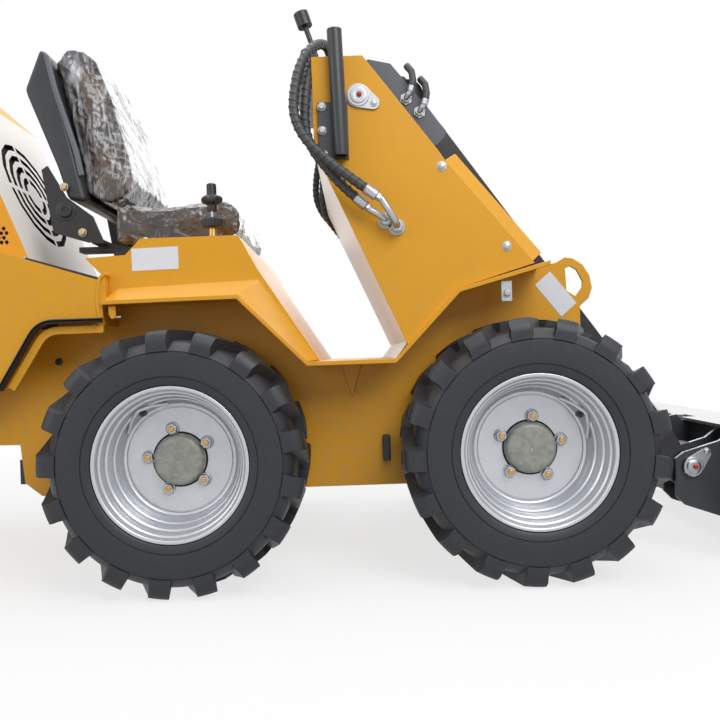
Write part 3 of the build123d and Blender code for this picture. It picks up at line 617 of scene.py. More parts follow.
class LOADER_OT_hoses(bpy.types.Operator):
    """Lay the hydraulic hoses with their spiral wrap"""
    bl_idname = "loader.hoses"
    bl_label = "Hoses"

    def execute(self, context):
        sizes = context.scene.loader_sizes
        for hose, route in HOSE_ROUTES.items():
            for side_name, side in (("left", 1), ("right", -1)):
                name = f"{hose}_{side_name}"
                curve = bpy.data.curves.new(name + "_line", "CURVE")
                curve.dimensions = "3D"
                curve.resolution_u = 12
                spline = curve.splines.new("NURBS")
                spline.points.add(len(route) - 1)
                for point, (x, y, z) in zip(spline.points, route):
                    point.co = (x * MM, side * y * MM, z * MM, 1)
                spline.order_u = 3
                spline.use_endpoint_u = True
                hose_piece = bpy.data.objects.new(name + "_tube", curve)
                context.scene.collection.objects.link(hose_piece)
                context.view_layer.update()
                line = bpy.data.meshes.new_from_object(hose_piece)
                points = [v.co.copy() for v in line.vertices]
                curve.bevel_depth = sizes.hose / 2
                curve.bevel_resolution = 5
                curve.use_fill_caps = True
                curve.materials.append(finishes(context.scene.loader_colours)["hose"])
                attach(hose_piece, "chassis")
                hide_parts(name)
                wrap = self.wrap(context, name, points, side)
                [side_value * MM for side_value in (
                    route[0][0], side * route[0][1], route[0][2])]
                print("hose", name, round(along_line(points, 0.01)[1], 4))
        return {"FINISHED"}

    def wrap(self, context, name, points, side):
        """A raised spiral ridge round the hose."""
        sizes = context.scene.loader_sizes
        stations, whole = along_line(points, sizes.wrap_pitch / 14)
        across = stations[0][1].orthogonal().normalized()
        turns = []
        for place_on, run, distance in stations:
            if not 0.03 < distance < whole - 0.004:
                continue
            across = (across - run * across.dot(run)).normalized()
            up = run.cross(across)
            angle = side * math.tau * distance / sizes.wrap_pitch
            reach = sizes.hose / 2 - 0.0043
            turns.append(place_on + (across * math.cos(angle) + up * math.sin(angle)) * reach)
        curve = bpy.data.curves.new(name + "_wrap", "CURVE")
        curve.dimensions = "3D"
        ridge = curve.splines.new("POLY")
        ridge.points.add(len(turns) - 1)
        for point, turn in zip(ridge.points, turns):
            point.co = (*turn, 1)
        curve.bevel_depth = 0.006
        curve.bevel_resolution = 2
        curve.materials.append(finishes(context.scene.loader_colours)["hose"])
        wrap = bpy.data.objects.new(name + "_wrap", curve)
        context.scene.collection.objects.link(wrap)
        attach(wrap, "chassis")
        return wrap


# Wheels
def around(centre, side, radius, y, degrees):
    """A point on a wheel at a clockwise angle from its top, seen from the right."""
    angle = math.radians(degrees)
    return (centre[0] + radius * math.sin(angle), side * (417 + y),
            centre[1] + radius * math.cos(angle))


class LOADER_OT_wheels(bpy.types.Operator):
    """Mould the lugged tyres and spin the stepped rims with hub caps and nuts"""
    bl_idname = "loader.wheels"
    bl_label = "Wheels"

    def execute(self, context):
        groove = context.scene.loader_sizes.groove / MM
        for end_name, end, first_lug, first_nut in (("front", 1, 8.7, 5.5),
                                                    ("rear", -1, 11.9, -12.6)):
            for side_name, side in (("left", 1), ("right", -1)):
                wheel = f"{end_name}_{side_name}"
                centre = (end * 394.5, 290.0)
                self.tyre(wheel, centre, side, first_lug, groove)
                self.rim(wheel, centre, side, first_nut, end)
        return {"FINISHED"}

    def tyre(self, wheel, centre, side, first_lug, groove):
        shape = Shape()
        wall = [(169.7, 93), (171, 99), (174, 101.6), (181, 103.6), (187.2, 104.9),
                (188.2, 104.9 - groove), (189.4, 104.9 - groove), (190.4, 105.4), (198, 106.4),
                (208, 106.9), (222, 106.9), (234, 106.5), (240.2, 106),
                (241.2, 106 - groove * 1.5), (243, 106 - groove * 1.5), (244, 104.6),
                (250, 99.5), (257, 92), (263, 84.5), (266.5, 76), (268, 58), (269, 30), (269.3, 0)]
        profile = ([(160, 91)] + wall + [(r, -y) for r, y in reversed(wall[:-1])]
                   + [(160, -91), (160, -77), (246, -60), (246, 60), (160, 77)])
        count = 120
        shape.loft([[around(centre, side, r, y, 360 * k / count) for r, y in profile]
                    for k in range(count)], ring=True)
        # Each lug: distance from the middle, leading and trailing angle, low and high radius
        stations = [(106.9, 0.5, 9.6, 243.6, 260), (106.7, 0.1, 10.0, 243.4, 267),
                    (102.4, 0.1, 10.1, 242, 277.5), (96, 0.5, 10.4, 242, 286),
                    (88, 1.0, 10.9, 246, 289.2), (77, 1.8, 11.4, 252, 289.9),
                    (60, 3.8, 12.9, 256, 289.9), (42, 6.1, 14.6, 257, 289.9),
                    (22, 8.9, 16.6, 258, 289.9), (3, 11.5, 18.5, 258, 289.9)]
        pitch = 360 / 17
        for outward, offset in ((1, 0.0), (-1, 0.5)):
            for k in range(17):
                start = first_lug + (k + offset) * pitch
                sections = []
                for y, a, b, low, high in stations:
                    spread = 1.5 if y < 100 else 0.4
                    narrow = 0.45
                    top = [around(centre, side, high, outward * y,
                                  start + a + narrow + (b - a - 2 * narrow) * t / 4)
                           for t in range(5)]
                    foot = [around(centre, side, low, outward * y,
                                   start + b + spread - (b - a + 2 * spread) * t / 4)
                            for t in range(5)]
                    sections.append(top + foot)
                shape.loft(sections)
        place(f"tyre_{wheel}_moulded", shape, "rubber", f"wheel_{wheel}", "tyre", 0.0034,
              (f"tyre_{wheel}",))

    def rim(self, wheel, centre, side, first_nut, end):
        shape = Shape()
        back = [(160, -99), (168.6, -99), (169, -98.4), (169, -95), (159.9, -94), (159.9, -75),
                (136, -60), (136, -21), (151, 15), (159.9, 75), (159.9, 94), (169, 95)]
        front = [(169, 98.2), (168, 98.9), (165, 99), (162.4, 98.4), (160.6, 96), (159.6, 91),
                 (158.8, 86), (156.4, 83.2), (153.6, 82), (152.4, 79), (151.6, 70), (150.4, 64),
                 (147.6, 61.6), (145.4, 60), (144.6, 56), (143.4, 44), (141.8, 36), (139, 33),
                 (136.8, 31.4), (136, 27), (134.6, 16), (132.6, 9), (129.4, 5.4), (127.4, 1.2),
                 (124.5, -0.6), (121.4, -1), (120.4, -5), (118, -5),
                 (117, -1), (96, -1), (60, -1), (40, -1), (40, -13), (129, -13),
                 (129, -61), (154, -77)]
        count = 96
        shape.loft([[around(centre, side, r, y, 360 * k / count) for r, y in back + front]
                    for k in range(count)], ring=True)
        place(f"rim_{wheel}_spun", shape, "silver", f"wheel_{wheel}", "rim_paint", 0.0,
              (f"rim_{wheel}",))

        face = (centre[0], side * 416, centre[1])
        out = (0, side, 0)
        hub = Shape()
        hub.lathe(face, out, [(-1, 58.5), (3, 58.5), (4.5, 57), (5, 56.5), (15, 56.2), (19, 54.8),
                              (22, 51.5), (23.6, 46), (24.4, 36), (24.8, 22), (24.8, 6.5),
                              (23.4, 4.4), (22.6, 0)], 56)
        # Thin black ring round the cap: painted shadow in the gap between cap and disc.
        hub.lathe(face, out, [(-0.8, 62.5), (0.7, 62.5), (0.8, 58)], 56, 0, 1)
        place(f"hub_cap_{wheel}", hub, ["iron", "shadow"], f"wheel_{wheel}", "cast_iron")

        nuts = Shape()
        for k in range(5):
            spot = around(centre, side, 71, -1, first_nut + 72 * k)
            nuts.lathe(spot, out, [(-0.5, 15.4), (1.8, 15.4), (3.4, 13.6)], 32)
            nuts.lathe(spot, out, [(2, 12.4), (3.4, 13.4), (13.2, 13.4), (15, 11.8)], 6,
                       11 * k + 7)
            nuts.lathe(spot, out, [(2, 7), (18.6, 7), (19.8, 5.8), (20, 4)], 20, 0, 1)
        place(f"wheel_nuts_{wheel}", nuts, ["zinc", "bronze"], f"wheel_{wheel}", "zinc_steel", 0.0006)

        # The valve under its welded guard, low in the rim's well
        angle = 57.0 if end > 0 else -35.0
        guard = Shape()
        arms = [(128, 11, -25), (134.5, 27, -12), (139, 40, -1.5), (139, 40, 1.5),
                (134.5, 27, 12), (128, 11, 25)]
        guard.pipe([around(centre, side, r, y, angle + turn) for r, y, turn in arms], 4.6, 10)
        guard.lathe(around(centre, side, 130, 8, angle), (0, side, 0),
                    [(0, 6.4), (20, 6.4), (21, 5.2), (21, 4.2), (28, 4.2), (29, 3)], 14, 0, 1)
        place(f"valve_guard_{wheel}", guard, ["silver", "grip"], f"wheel_{wheel}", "rim_paint")


def both(action):
    """Runs a piece's drawing for the left side and the right side."""
    for side_name, side in (("left", 1), ("right", -1)):
        action(side_name, side)


# Chassis and floor
class LOADER_OT_chassis(bpy.types.Operator):
    """Paint the chassis, floor and wheel arches, with their small fittings"""
    bl_idname = "loader.chassis"
    bl_label = "Chassis"

    def execute(self, context):
        for node in ("chassis_frame", "chassis_plate_left", "chassis_plate_right", "floor_pan"):
            soften(node, "yellow")
        soften("axle_housings", "dark", 0.002)
        soften("rubber_stops", "strip", 0.003, None, lambda spot: spot.x < 0)
        both(self.fittings)
        return {"FINISHED"}

    def fittings(self, side_name, side):
        label = Shape()
        label.slab([(450, 666), (488, 698), (550, 619), (512, 587)], side * 285, side * 285.7)
        place(f"chassis_label_{side_name}", label, "label", "chassis", "grey_paint")
        trim = Shape()
        trim.block(-818, -804, side * 262, side * 284, 224, 284)
        place(f"rear_edge_strip_{side_name}", trim, "strip", "chassis", "black_rubber", 0.002)
        bolts = Shape()
        for x, z in ((-700, 430), (-640, 240), (500, 240), (180, 440)):
            bolts.dome((x, side * 285, z), (0, side, 0), 8)
        bolts.block(346, 370, side * 396, side * 401, 622, 668)
        bolts.bolt((358, side * 401, 640), (0, side, 0), 8)
        place(f"chassis_bolts_{side_name}", bolts, "zinc", "chassis", "zinc_steel", 0.0004)
        plug = Shape()
        plug.lathe((-713, side * 285, 519), (0, side, 0), [(-1, 9), (2, 9), (3, 7.6), (3, 4),
                                                          (2, 3)], 24)
        place(f"chassis_plug_{side_name}", plug, "grip", "chassis", "black_plastic")


# Tower, rails and fittings
def teardrop(centre, tip, big, small):
    """Outline of a plate round two circles, in X and Z."""
    run = Vector((tip[0] - centre[0], tip[1] - centre[1]))
    lean = math.atan2(run.y, run.x)
    open_angle = math.acos((big - small) / run.length)
    points = []
    for k in range(25):
        a = lean + open_angle + (math.tau - 2 * open_angle) * k / 24
        points.append((centre[0] + big * math.cos(a), centre[1] + big * math.sin(a)))
    for k in range(13):
        a = lean - open_angle + 2 * open_angle * k / 12
        points.append((tip[0] + small * math.cos(a), tip[1] + small * math.sin(a)))
    return points


class LOADER_OT_tower(bpy.types.Operator):
    """Paint the tower and fit its rails, keepers, bolts and hose ends"""
    bl_idname = "loader.tower"
    bl_label = "Tower"

    def execute(self, context):
        for node in ("tower_side_left", "tower_side_right"):
            soften(node, "yellow")
        # The tower wall is yellow drawn pale, a painted highlight.
        soften("tower_wall", "cream")
        soften("hand_rails", "rail", 0.0008)
        soften("rail_brackets", "bracket")
        soften("control_console", "black", 0.004)
        soften("control_levers", "grip", 0.002)
        both(self.fasteners)
        both(self.keeper)
        self.hose_ends()
        return {"FINISHED"}

    def fasteners(self, side_name, side):
        out = (0, side, 0)
        bolts = Shape()
        for x, z in ((219, 932), (360, 746)):
            bolts.dome((x, side * 410, z), out, 9)
        for x, z, turn in ((-49, 1074, 4), (-49, 1020, 22), (-47, 965, 12)):
            bolts.bolt((x, side * 416, z), out, 8.5, 0, turn)
        place(f"tower_bolts_{side_name}", bolts, "zinc", "chassis", "zinc_steel", 0.0004)
        # Black disc on the plate: painted shadow in the hole.
        hole = Shape()
        hole.lathe((-19, side * 410, 932), out, [(-1, 9), (0.3, 9), (0.5, 8.4)], 28)
        place(f"tower_hole_shadow_{side_name}", hole, "shadow", "chassis", "black_paint")

    def keeper(self, side_name, side):
        plate = Shape()
        plate.slab(teardrop((35, 1098), (68, 1080), 27, 15), side * 410.1, side * 414.6)
        plate.lathe((35, side * 414, 1098), (0, side, 0), [(0, 25), (2.2, 25), (3, 24)], 40)
        plate.dome((70, side * 414.6, 1079), (0, side, 0), 6.5)
        place(f"pin_keeper_{side_name}", plate, "zinc", "chassis", "zinc_steel", 0.0007)
        cap = Shape()
        cap.lathe((35, side * 414, 1098), (0, side, 0), [(0, 18.5), (4.6, 18.5), (5.4, 17.4),
                                                          (5.2, 9), (4.4, 7.5)], 36)
        cap.lathe((37, side * 417.6, 1099), (0, side, 0), [(0, 6), (5, 5.6), (7, 4), (7.6, 1)],
                  20, 0, 1)
        place(f"boom_pin_end_{side_name}", cap, ["zinc", "red"], "boom", "zinc_steel")

    def hose_ends(self):
        """Each hose's ferrule, bent pipe and two nuts on the tower's side."""
        ends = Shape()
        for name, route in HOSE_ROUTES.items():
            foot_x, foot_z = HOSE_FEET[name]
            for side in (1, -1):
                tail, tip = (Vector((x, side * y, z)) for x, y, z in route[-2:])
                run = (tip - tail).normalized()
                start = tip - run * 26
                rings = [(0, 11.4), (1.2, 12.8)]
                for k in range(4):
                    rings += [(3 + 6 * k, 13), (4.2 + 6 * k, 12.1), (6.6 + 6 * k, 12.1),
                              (7.8 + 6 * k, 13)]
                ends.lathe(start, run, rings + [(29, 12.6), (30, 11.2), (31, 8)], 28)
                ends.lathe(start, run, [(30, 9.5), (31, 10.5), (38, 10.5), (39, 9.5)], 6, 8)
                foot = Vector((foot_x, side * 410, foot_z))
                turn = Vector((foot_x, tip.y, foot_z))
                pipe = [start + run * 34, start + run * 44]
                for k in range(1, 8):
                    t = k / 8
                    pipe.append(pipe[1] * (1 - t) ** 2 + turn * (2 * t * (1 - t))
                                + (foot + Vector((0, side * 16, 0))) * t ** 2)
                ends.pipe(pipe + [foot + Vector((0, side * 12, 0))], 8, 16)
                ends.lathe(foot, (0, side, 0), [(-0.5, 19), (3, 19), (4, 18)], 30)
                ends.lathe(foot, (0, side, 0), [(3, 15), (4, 16), (13, 16), (14.5, 14)], 6, 12)
                ends.lathe(foot, (0, side, 0), [(14, 12.6), (15, 13.4), (23, 13.4), (24, 12)],
                           6, 30)
        place("hose_ferrules", ends, "zinc", "chassis", "zinc_steel", 0.0005,
              ("hose_fittings",))


# Seat console and knob
class LOADER_OT_console(bpy.types.Operator):
    """Paint the seat console and fit its knob, blank label and brackets"""
    bl_idname = "loader.console"
    bl_label = "Seat console"

    def execute(self, context):
        soften("seat_console", "yellow")
        both(self.fittings)
        self.knob()
        return {"FINISHED"}

    def fittings(self, side_name, side):
        out = (0, side, 0)
        label = Shape()
        label.slab([(-500, 722), (-392, 724), (-392, 776), (-500, 774)], side * 380,
                   side * 380.7)
        place(f"console_label_{side_name}", label, "label", "chassis", "grey_paint")
        loop = Shape()
        bar = rounded_path([(-550, 716), (-566, 706), (-572, 668), (-572, 640), (-566, 598)], 16)
        loop.sweep(bar, [(-4, side * 384), (4, side * 384), (4, side * 413), (-4, side * 413)])
        loop.block(-562, -554, side * 386, side * 409, 652, 712)
        loop.slab([(-549, 642), (-532, 642), (-532, 618), (-536, 612), (-543, 612), (-548, 622)],
                  side * 404, side * 409)
        place(f"console_loop_{side_name}", loop, "yellow", "chassis", "yellow_paint", 0.0015)
        bolts = Shape()
        bolts.dome((-262, side * 366, 797), (0, 0, 1), 6)
        bolts.dome((-470, side * 366, 797), (0, 0, 1), 6)
        bolts.lathe((-540, side * 402, 616), (1, 0, 0), [(0, 3.4), (18, 3.4), (19, 2.4)], 16)
        place(f"console_bolts_{side_name}", bolts, "zinc", "chassis", "zinc_steel", 0.0003)

    def knob(self):
        shape = Shape()
        foot = Vector((-316, -350, 797))
        up = (0, 0, 1)
        shape.lathe(foot, up, [(0, 15), (3, 15), (4, 13.5)], 6, 12, 1)
        shape.lathe(foot, up, [(2, 10.2), (12, 9.6), (22, 9.2), (25, 9)], 28, 0, 2)
        shape.lathe(foot, up, [(44, 4), (66, 4)], 20, 0, 1)
        # Knurled collar and lobed grip, drawn as wavy sections
        def wavy(levels, waves, depth, sides):
            sections = []
            for z, radius, share in levels:
                ring = []
                for k in range(sides):
                    a = math.tau * k / sides
                    wave = math.cos(waves * a)
                    reach = radius * (1 + depth * share * wave)
                    ring.append((foot.x + reach * math.cos(a), foot.y + reach * math.sin(a),
                                 foot.z + z))
                sections.append(ring)
            shape.loft(sections, 0)
        wavy([(23, 15, 0), (25, 21, 0.6), (27, 23, 1), (43, 23.2, 1), (45, 22, 0.7),
              (46.5, 17, 0)], 20, 0.045, 120)
        wavy([(63, 10.6, 0), (66, 11.3, 0), (76, 11.2, 0), (79, 14, 0.3), (82, 20, 0.8),
              (86, 22.2, 1), (92, 22.4, 1), (96, 20.6, 0.9), (99, 16, 0.5), (101, 12, 0),
              (104, 11.4, 0), (122, 11.4, 0), (126, 10.4, 0), (128, 7, 0)], 6, 0.12, 96)
        place("control_knob_turned", shape, ["grip", "zinc", "bronze"], "chassis",
              "black_plastic", 0.0, ("control_knob",))


# Seat
def clean_copy(node, inset, rise):
    """The node's closed mesh, drawn in from its own box by an inset and raised, in metres."""
    work = bmesh.new()
    work.from_mesh(frame["nodes"][node].data)
    bmesh.ops.remove_doubles(work, verts=work.verts, dist=0.00003)
    low, high = (Vector(corner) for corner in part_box(node))
    middle = (low + high) / 2
    shrink = [1 - 2 * inset / (high[i] - low[i]) for i in range(3)]
    for vertex in work.verts:
        share = (vertex.co.z - low.z) / (high.z - low.z)
        vertex.co = middle + Vector((vertex.co - middle)[i] * shrink[i] for i in range(3))
        vertex.co.z += rise * share
    mesh = bpy.data.meshes.new(node + "_cut")
    work.to_mesh(mesh)
    work.free()
    return mesh


def evaluated_mesh(piece):
    """The piece's mesh with its modifiers applied."""
    graph = bpy.context.evaluated_depsgraph_get()
    return bpy.data.meshes.new_from_object(piece.evaluated_get(graph), depsgraph=graph)


def stuffed(name, node, inset, swell, rise=0.0, pressure=4.0):
    """A cushion swollen from its cut shape by pressure, then made finer."""
    piece = bpy.data.objects.new(name, clean_copy(node, inset, rise))
    bpy.context.scene.collection.objects.link(piece)
    remesh = piece.modifiers.new("Even mesh", "REMESH")
    remesh.mode = "VOXEL"
    remesh.voxel_size = 0.006
    even = evaluated_mesh(piece)
    piece.modifiers.clear()
    piece.data = even
    start = [v.co.copy() for v in even.vertices]
    cloth = piece.modifiers.new("Swell", "CLOTH")
    cloth.settings.quality = 4
    cloth.settings.mass = 0.3
    cloth.settings.tension_stiffness = 12
    cloth.settings.compression_stiffness = 12
    cloth.settings.bending_stiffness = 0.6
    cloth.settings.use_pressure = True
    cloth.settings.uniform_pressure_force = pressure
    cloth.settings.effector_weights.gravity = 0
    cloth.collision_settings.use_collision = False
    cloth.point_cache.frame_start = 1
    cloth.point_cache.frame_end = 20
    scene = bpy.context.scene
    for number in range(1, 21):
        scene.frame_set(number)
        bpy.context.view_layer.update()
    graph = bpy.context.evaluated_depsgraph_get()
    moved = [v.co.copy() for v in piece.evaluated_get(graph).data.vertices]
    piece.modifiers.clear()
    drift = sum((b - a for a, b in zip(start, moved)), Vector()) / len(start)
    for vertex, before, after in zip(piece.data.vertices, start, moved):
        step = after - before - drift
        if step.length > swell:
            step *= swell / step.length
        vertex.co = before + step
    scene.frame_set(1)
    finer = piece.modifiers.new("Finer", "SUBSURF")
    finer.levels = finer.render_levels = 1
    fine = evaluated_mesh(piece)
    piece.modifiers.clear()
    piece.data = fine
    return piece


def crease(piece, height, along, floor_z=None):
    """Film wrinkles: thin ridges that run across a direction, pressed into the mesh."""
    mesh = piece.data
    normals = [v.normal.copy() for v in mesh.vertices]
    for vertex, normal in zip(mesh.vertices, normals):
        place_on = vertex.co
        warp = noise.noise_vector(place_on * 9) * 0.05
        spot = Vector((place_on[i] * along[i] for i in range(3))) + warp * 14
        ridge = (1 - abs(noise.noise(spot))) ** 7
        broad = noise.noise(place_on * 16 + Vector((3, 1, 7)))
        sharp = (1 - abs(noise.noise(spot * 2.3 + Vector((5, 2, 1))))) ** 9
        vertex.co += normal * height * (ridge * 0.9 + sharp * 0.5 + broad * 0.9 - 0.5)
        if floor_z is not None and vertex.co.z < floor_z:
            vertex.co.z = floor_z
    return piece


class LOADER_OT_seat(bpy.types.Operator):
    """Fill the seat's cushions under their clear film and fit the shell and brackets"""
    bl_idname = "loader.seat"
    bl_label = "Seat"

    def execute(self, context):
        sizes = context.scene.loader_sizes
        seat = stuffed("seat_cushion_filled", "seat_cushion", 0.007, sizes.swell,
                       0.018)
        crease(seat, sizes.wrinkle, (16, 9, 30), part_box("seat_cushion")[0][2])
        settle(seat, ["vinyl"], "chassis", 0.0, ("seat_cushion",))
        back = stuffed("seat_back_filled", "seat_back_cushion", 0.007, sizes.swell)
        crease(back, sizes.wrinkle, (26, 10, 16))
        settle(back, ["vinyl_back"], "chassis", 0.0, ("seat_back_cushion",))
        soften("seat_back_shell", "plastic", 0.012)
        soften("seat_frame", "black", 0.0015)
        both(self.brackets)
        return {"FINISHED"}

    def brackets(self, side_name, side):
        out = (0, side, 0)
        trim = Shape()
        trim.sweep(rounded_path([(-742, 1288), (-724, 1205), (-676, 1048), (-664, 985)], 20),
                   [(-7, side * 222), (7, side * 222), (7, side * 229), (4, side * 232),
                    (-4, side * 232), (-7, side * 229)])
        place(f"seat_edge_trim_{side_name}", trim, "band", "chassis", "black_plastic", 0.001)
        pivot = Shape()
        pivot.lathe((-702, side * 236, 895), out, [(0, 25), (3, 25), (4, 23), (4, 18), (6, 17),
                                                   (9, 16), (10, 14), (10, 8), (8, 7)], 36)
        place(f"recliner_pivot_{side_name}", pivot, "black", "chassis", "black_paint", 0.0006)
        bolts = Shape()
        for x, z in ((-704, 955), (-662, 840)):
            bolts.bolt((x, side * 238, z), out, 9)
        bolts.bolt((-576, side * 190, 838), out, 8)
        place(f"seat_bolts_{side_name}", bolts, "gold", "chassis", "zinc_steel", 0.0004)


# Engine bay
class LOADER_OT_engine_bay(bpy.types.Operator):
    """Paint the rear fenders, bumper and engine block, and fit the edge rubber"""
    bl_idname = "loader.engine_bay"
    bl_label = "Engine bay"

    def execute(self, context):
        for node in ("rear_fender_left", "rear_fender_right"):
            soften(node, "yellow")
        soften("rear_bumper", "black", 0.003)
        soften("engine_block", "dark", 0.004)
        rubber = Shape()
        path = rounded_path([(-561, 610), (-703, 610), (-795, 460)], 34)
        for side in (1, -1):
            rubber.sweep(path, [(-5, side * 410), (-5, side * 425), (-4, side * 428.4),
                                (-2.6, side * 429.4), (-1.2, side * 427.6), (0, side * 423),
                                (1.2, side * 427.6), (2.6, side * 429.4), (4, side * 428.4),
                                (5, side * 425), (5, side * 410)])
        place("fender_edge_rubber", rubber, "strip", "chassis", "black_rubber", 0.0,
              ("fender_rubber",))
        both(self.lip)
        return {"FINISHED"}

    def lip(self, side_name, side):
        lip = Shape()
        path = rounded_path([(-561, 590), (-692, 590), (-774, 460)], 30)
        lip.sweep(path, [(-9, side * 403), (-9, side * 411), (9, side * 411), (9, side * 403)])
        place(f"fender_lip_{side_name}", lip, "yellow", "chassis", "yellow_paint", 0.0012)
        seal = Shape()
        seal.sweep([(-737, 757), (-570, 705)], [(-3, side * 397), (-3, side * 403),
                                                (3, side * 403), (3, side * 397)])
        place(f"fender_seal_{side_name}", seal, "strip", "chassis", "black_rubber", 0.001)
        bolts = Shape()
        bolts.dome((-738, side * 396, 757), (0.2, 0, 1), 6)
        place(f"fender_bolts_{side_name}", bolts, "zinc", "chassis", "zinc_steel", 0.0003)


# Hood
class LOADER_OT_hood(bpy.types.Operator):
    """Paint the hood, its grille panel pale yellow as a painted highlight, and back its openings with
    painted shadow
    """
    bl_idname = "loader.hood"
    bl_label = "Hood"

    def execute(self, context):
        slope = Vector((514, 0, 205)).normalized()
        # Front panel faces get the painted highlight and the slots' sides painted shadow.
        soften("hood_shell", ["yellow", "cream", "shadow"], 0.0009,
               self.panel_mark)
        # Black disc behind the grille and black plates behind the side vents: painted shadow seen
        # through the openings.
        shadow_backing = Shape()
        centre = Vector((-877, 0, 986)) - Vector((slope.x, 0, slope.z)) * 12
        shadow_backing.lathe(centre, slope, [(-4, 166), (0, 166), (0.5, 164)], 48)
        for side in (1, -1):
            shadow_backing.block(-932, -832, side * 243, side * 246, 812, 868)
        place("hood_shadow_backing", shadow_backing, "shadow", "hood", "black_plastic")
        return {"FINISHED"}

    def panel_mark(self, face):
        """Pale yellow, a painted highlight, on the sloping front panel, painted shadow inside its
        slots, and yellow elsewhere.
        """
        slope = Vector((514, 0, 205)).normalized()
        lean = face.normal.dot(slope)
        middle = face.calc_center_median()
        if lean > 0.97:
            return 1
        if (middle - Vector((-0.877, 0, 0.986))).length < 0.17 and abs(lean) < 0.5:
            return 2
        return 0


# Boom and cylinders
class LOADER_OT_boom(bpy.types.Operator):
    """Paint the boom, its cheeks and the cylinders, and fit the bulkhead hose ends"""
    bl_idname = "loader.boom"
    bl_label = "Boom and cylinders"

    def execute(self, context):
        soften("boom_frame", "black", 0.002)
        self.cheeks()
        for node in ("lift_barrels", "tilt_barrel"):
            soften(node, "black", 0.0012)
        for node in ("lift_rods", "tilt_rod"):
            soften(node, "chrome", 0.0008)
        both(self.bulkhead)
        return {"FINISHED"}

    def cheeks(self):
        """The grey plates that carry the bulkhead fittings beside the boom's pin."""
        plates = Shape()
        outline = [(15, 1150), (60, 1192), (112, 1180), (160, 1119), (236, 1020), (232, 1008),
                   (214, 988), (205, 986), (140, 1040), (60, 1040), (5, 1050)]
        for side in (1, -1):
            plates.slab(outline, side * 372, side * 382)
        place("boom_cheeks_shown", plates, "cheek", "boom", "grey_paint", 0.0015,
              ("boom_cheeks",))

    def bulkhead(self, side_name, side):
        ends = Shape()
        out = (0, side, 0)
        for x, z in ((145, 1096), (175, 1065)):
            ends.lathe((x, side * 381, z), out, [(0, 15), (3, 15), (4, 14)], 6, 8)
            ends.lathe((x, side * 385, z), out, [(0, 11), (5, 11), (6, 10)], 6, 22)
            ends.pipe([(x, side * 388, z), (x, side * 396, z), (x + 4, side * 402, z + 5),
                       (x + 10, side * 403, z + 14)], 6, 14)
        for x, z in ((155, 1110), (185, 1079)):
            ends.lathe((x, side * 403, z), (0.35, 0, 1), [(-4, 9), (8, 9), (9, 8)], 6, 3)
            ends.pipe([(x + 3, side * 403, z + 8), (x + 6, side * 402, z + 22),
                       (x + 4, side * 396, z + 44), (x - 6, side * 384, z + 62)], 8, 14, 1)
        place(f"bulkhead_ends_{side_name}", ends, ["zinc", "hose"], "boom", "zinc_steel", 0.0004)


# Coupler and bucket
class LOADER_OT_coupler(bpy.types.Operator):
    """Paint the coupler, its pins and keepers, and the bucket"""
    bl_idname = "loader.coupler"
    bl_label = "Coupler and bucket"

    def execute(self, context):
        # Upward faces of the coupler and the bucket's top faces get the near-white painted highlight.
        soften("coupler_frame", ["slate", "painted_top_highlight"], 0.0014,
               lambda face: 1 if face.normal.z > 0.25 and abs(face.normal.y) < 0.1 else 0)
        soften("coupler_pins", "zinc", 0.0012)
        soften("bucket_shell", ["steel", "painted_top_highlight"], 0.0015,
               lambda face: 1 if face.normal.z > 0.9 and face.calc_center_median().z > 0.28
               else 0)
        soften("cutting_edge", "steel", 0.0006)
        both(self.pin_end)
        return {"FINISHED"}

    def pin_end(self, side_name, side):
        out = (0, side, 0)
        end = Shape()
        end.lathe((818, side * 288, 212), out, [(0, 24), (4, 24), (5, 22.6), (5, 18), (7, 17),
                                                (9, 14), (10, 9)], 36)
        end.dome((852, side * 289, 248), out, 7.5)
        end.lathe((820, side * 296, 213), out, [(0, 6.5), (4, 6), (6.5, 4.4), (7.4, 1)], 20, 0, 1)
        place(f"coupler_pin_end_{side_name}", end, ["zinc", "red"], "bucket", "zinc_steel",
              0.0005)


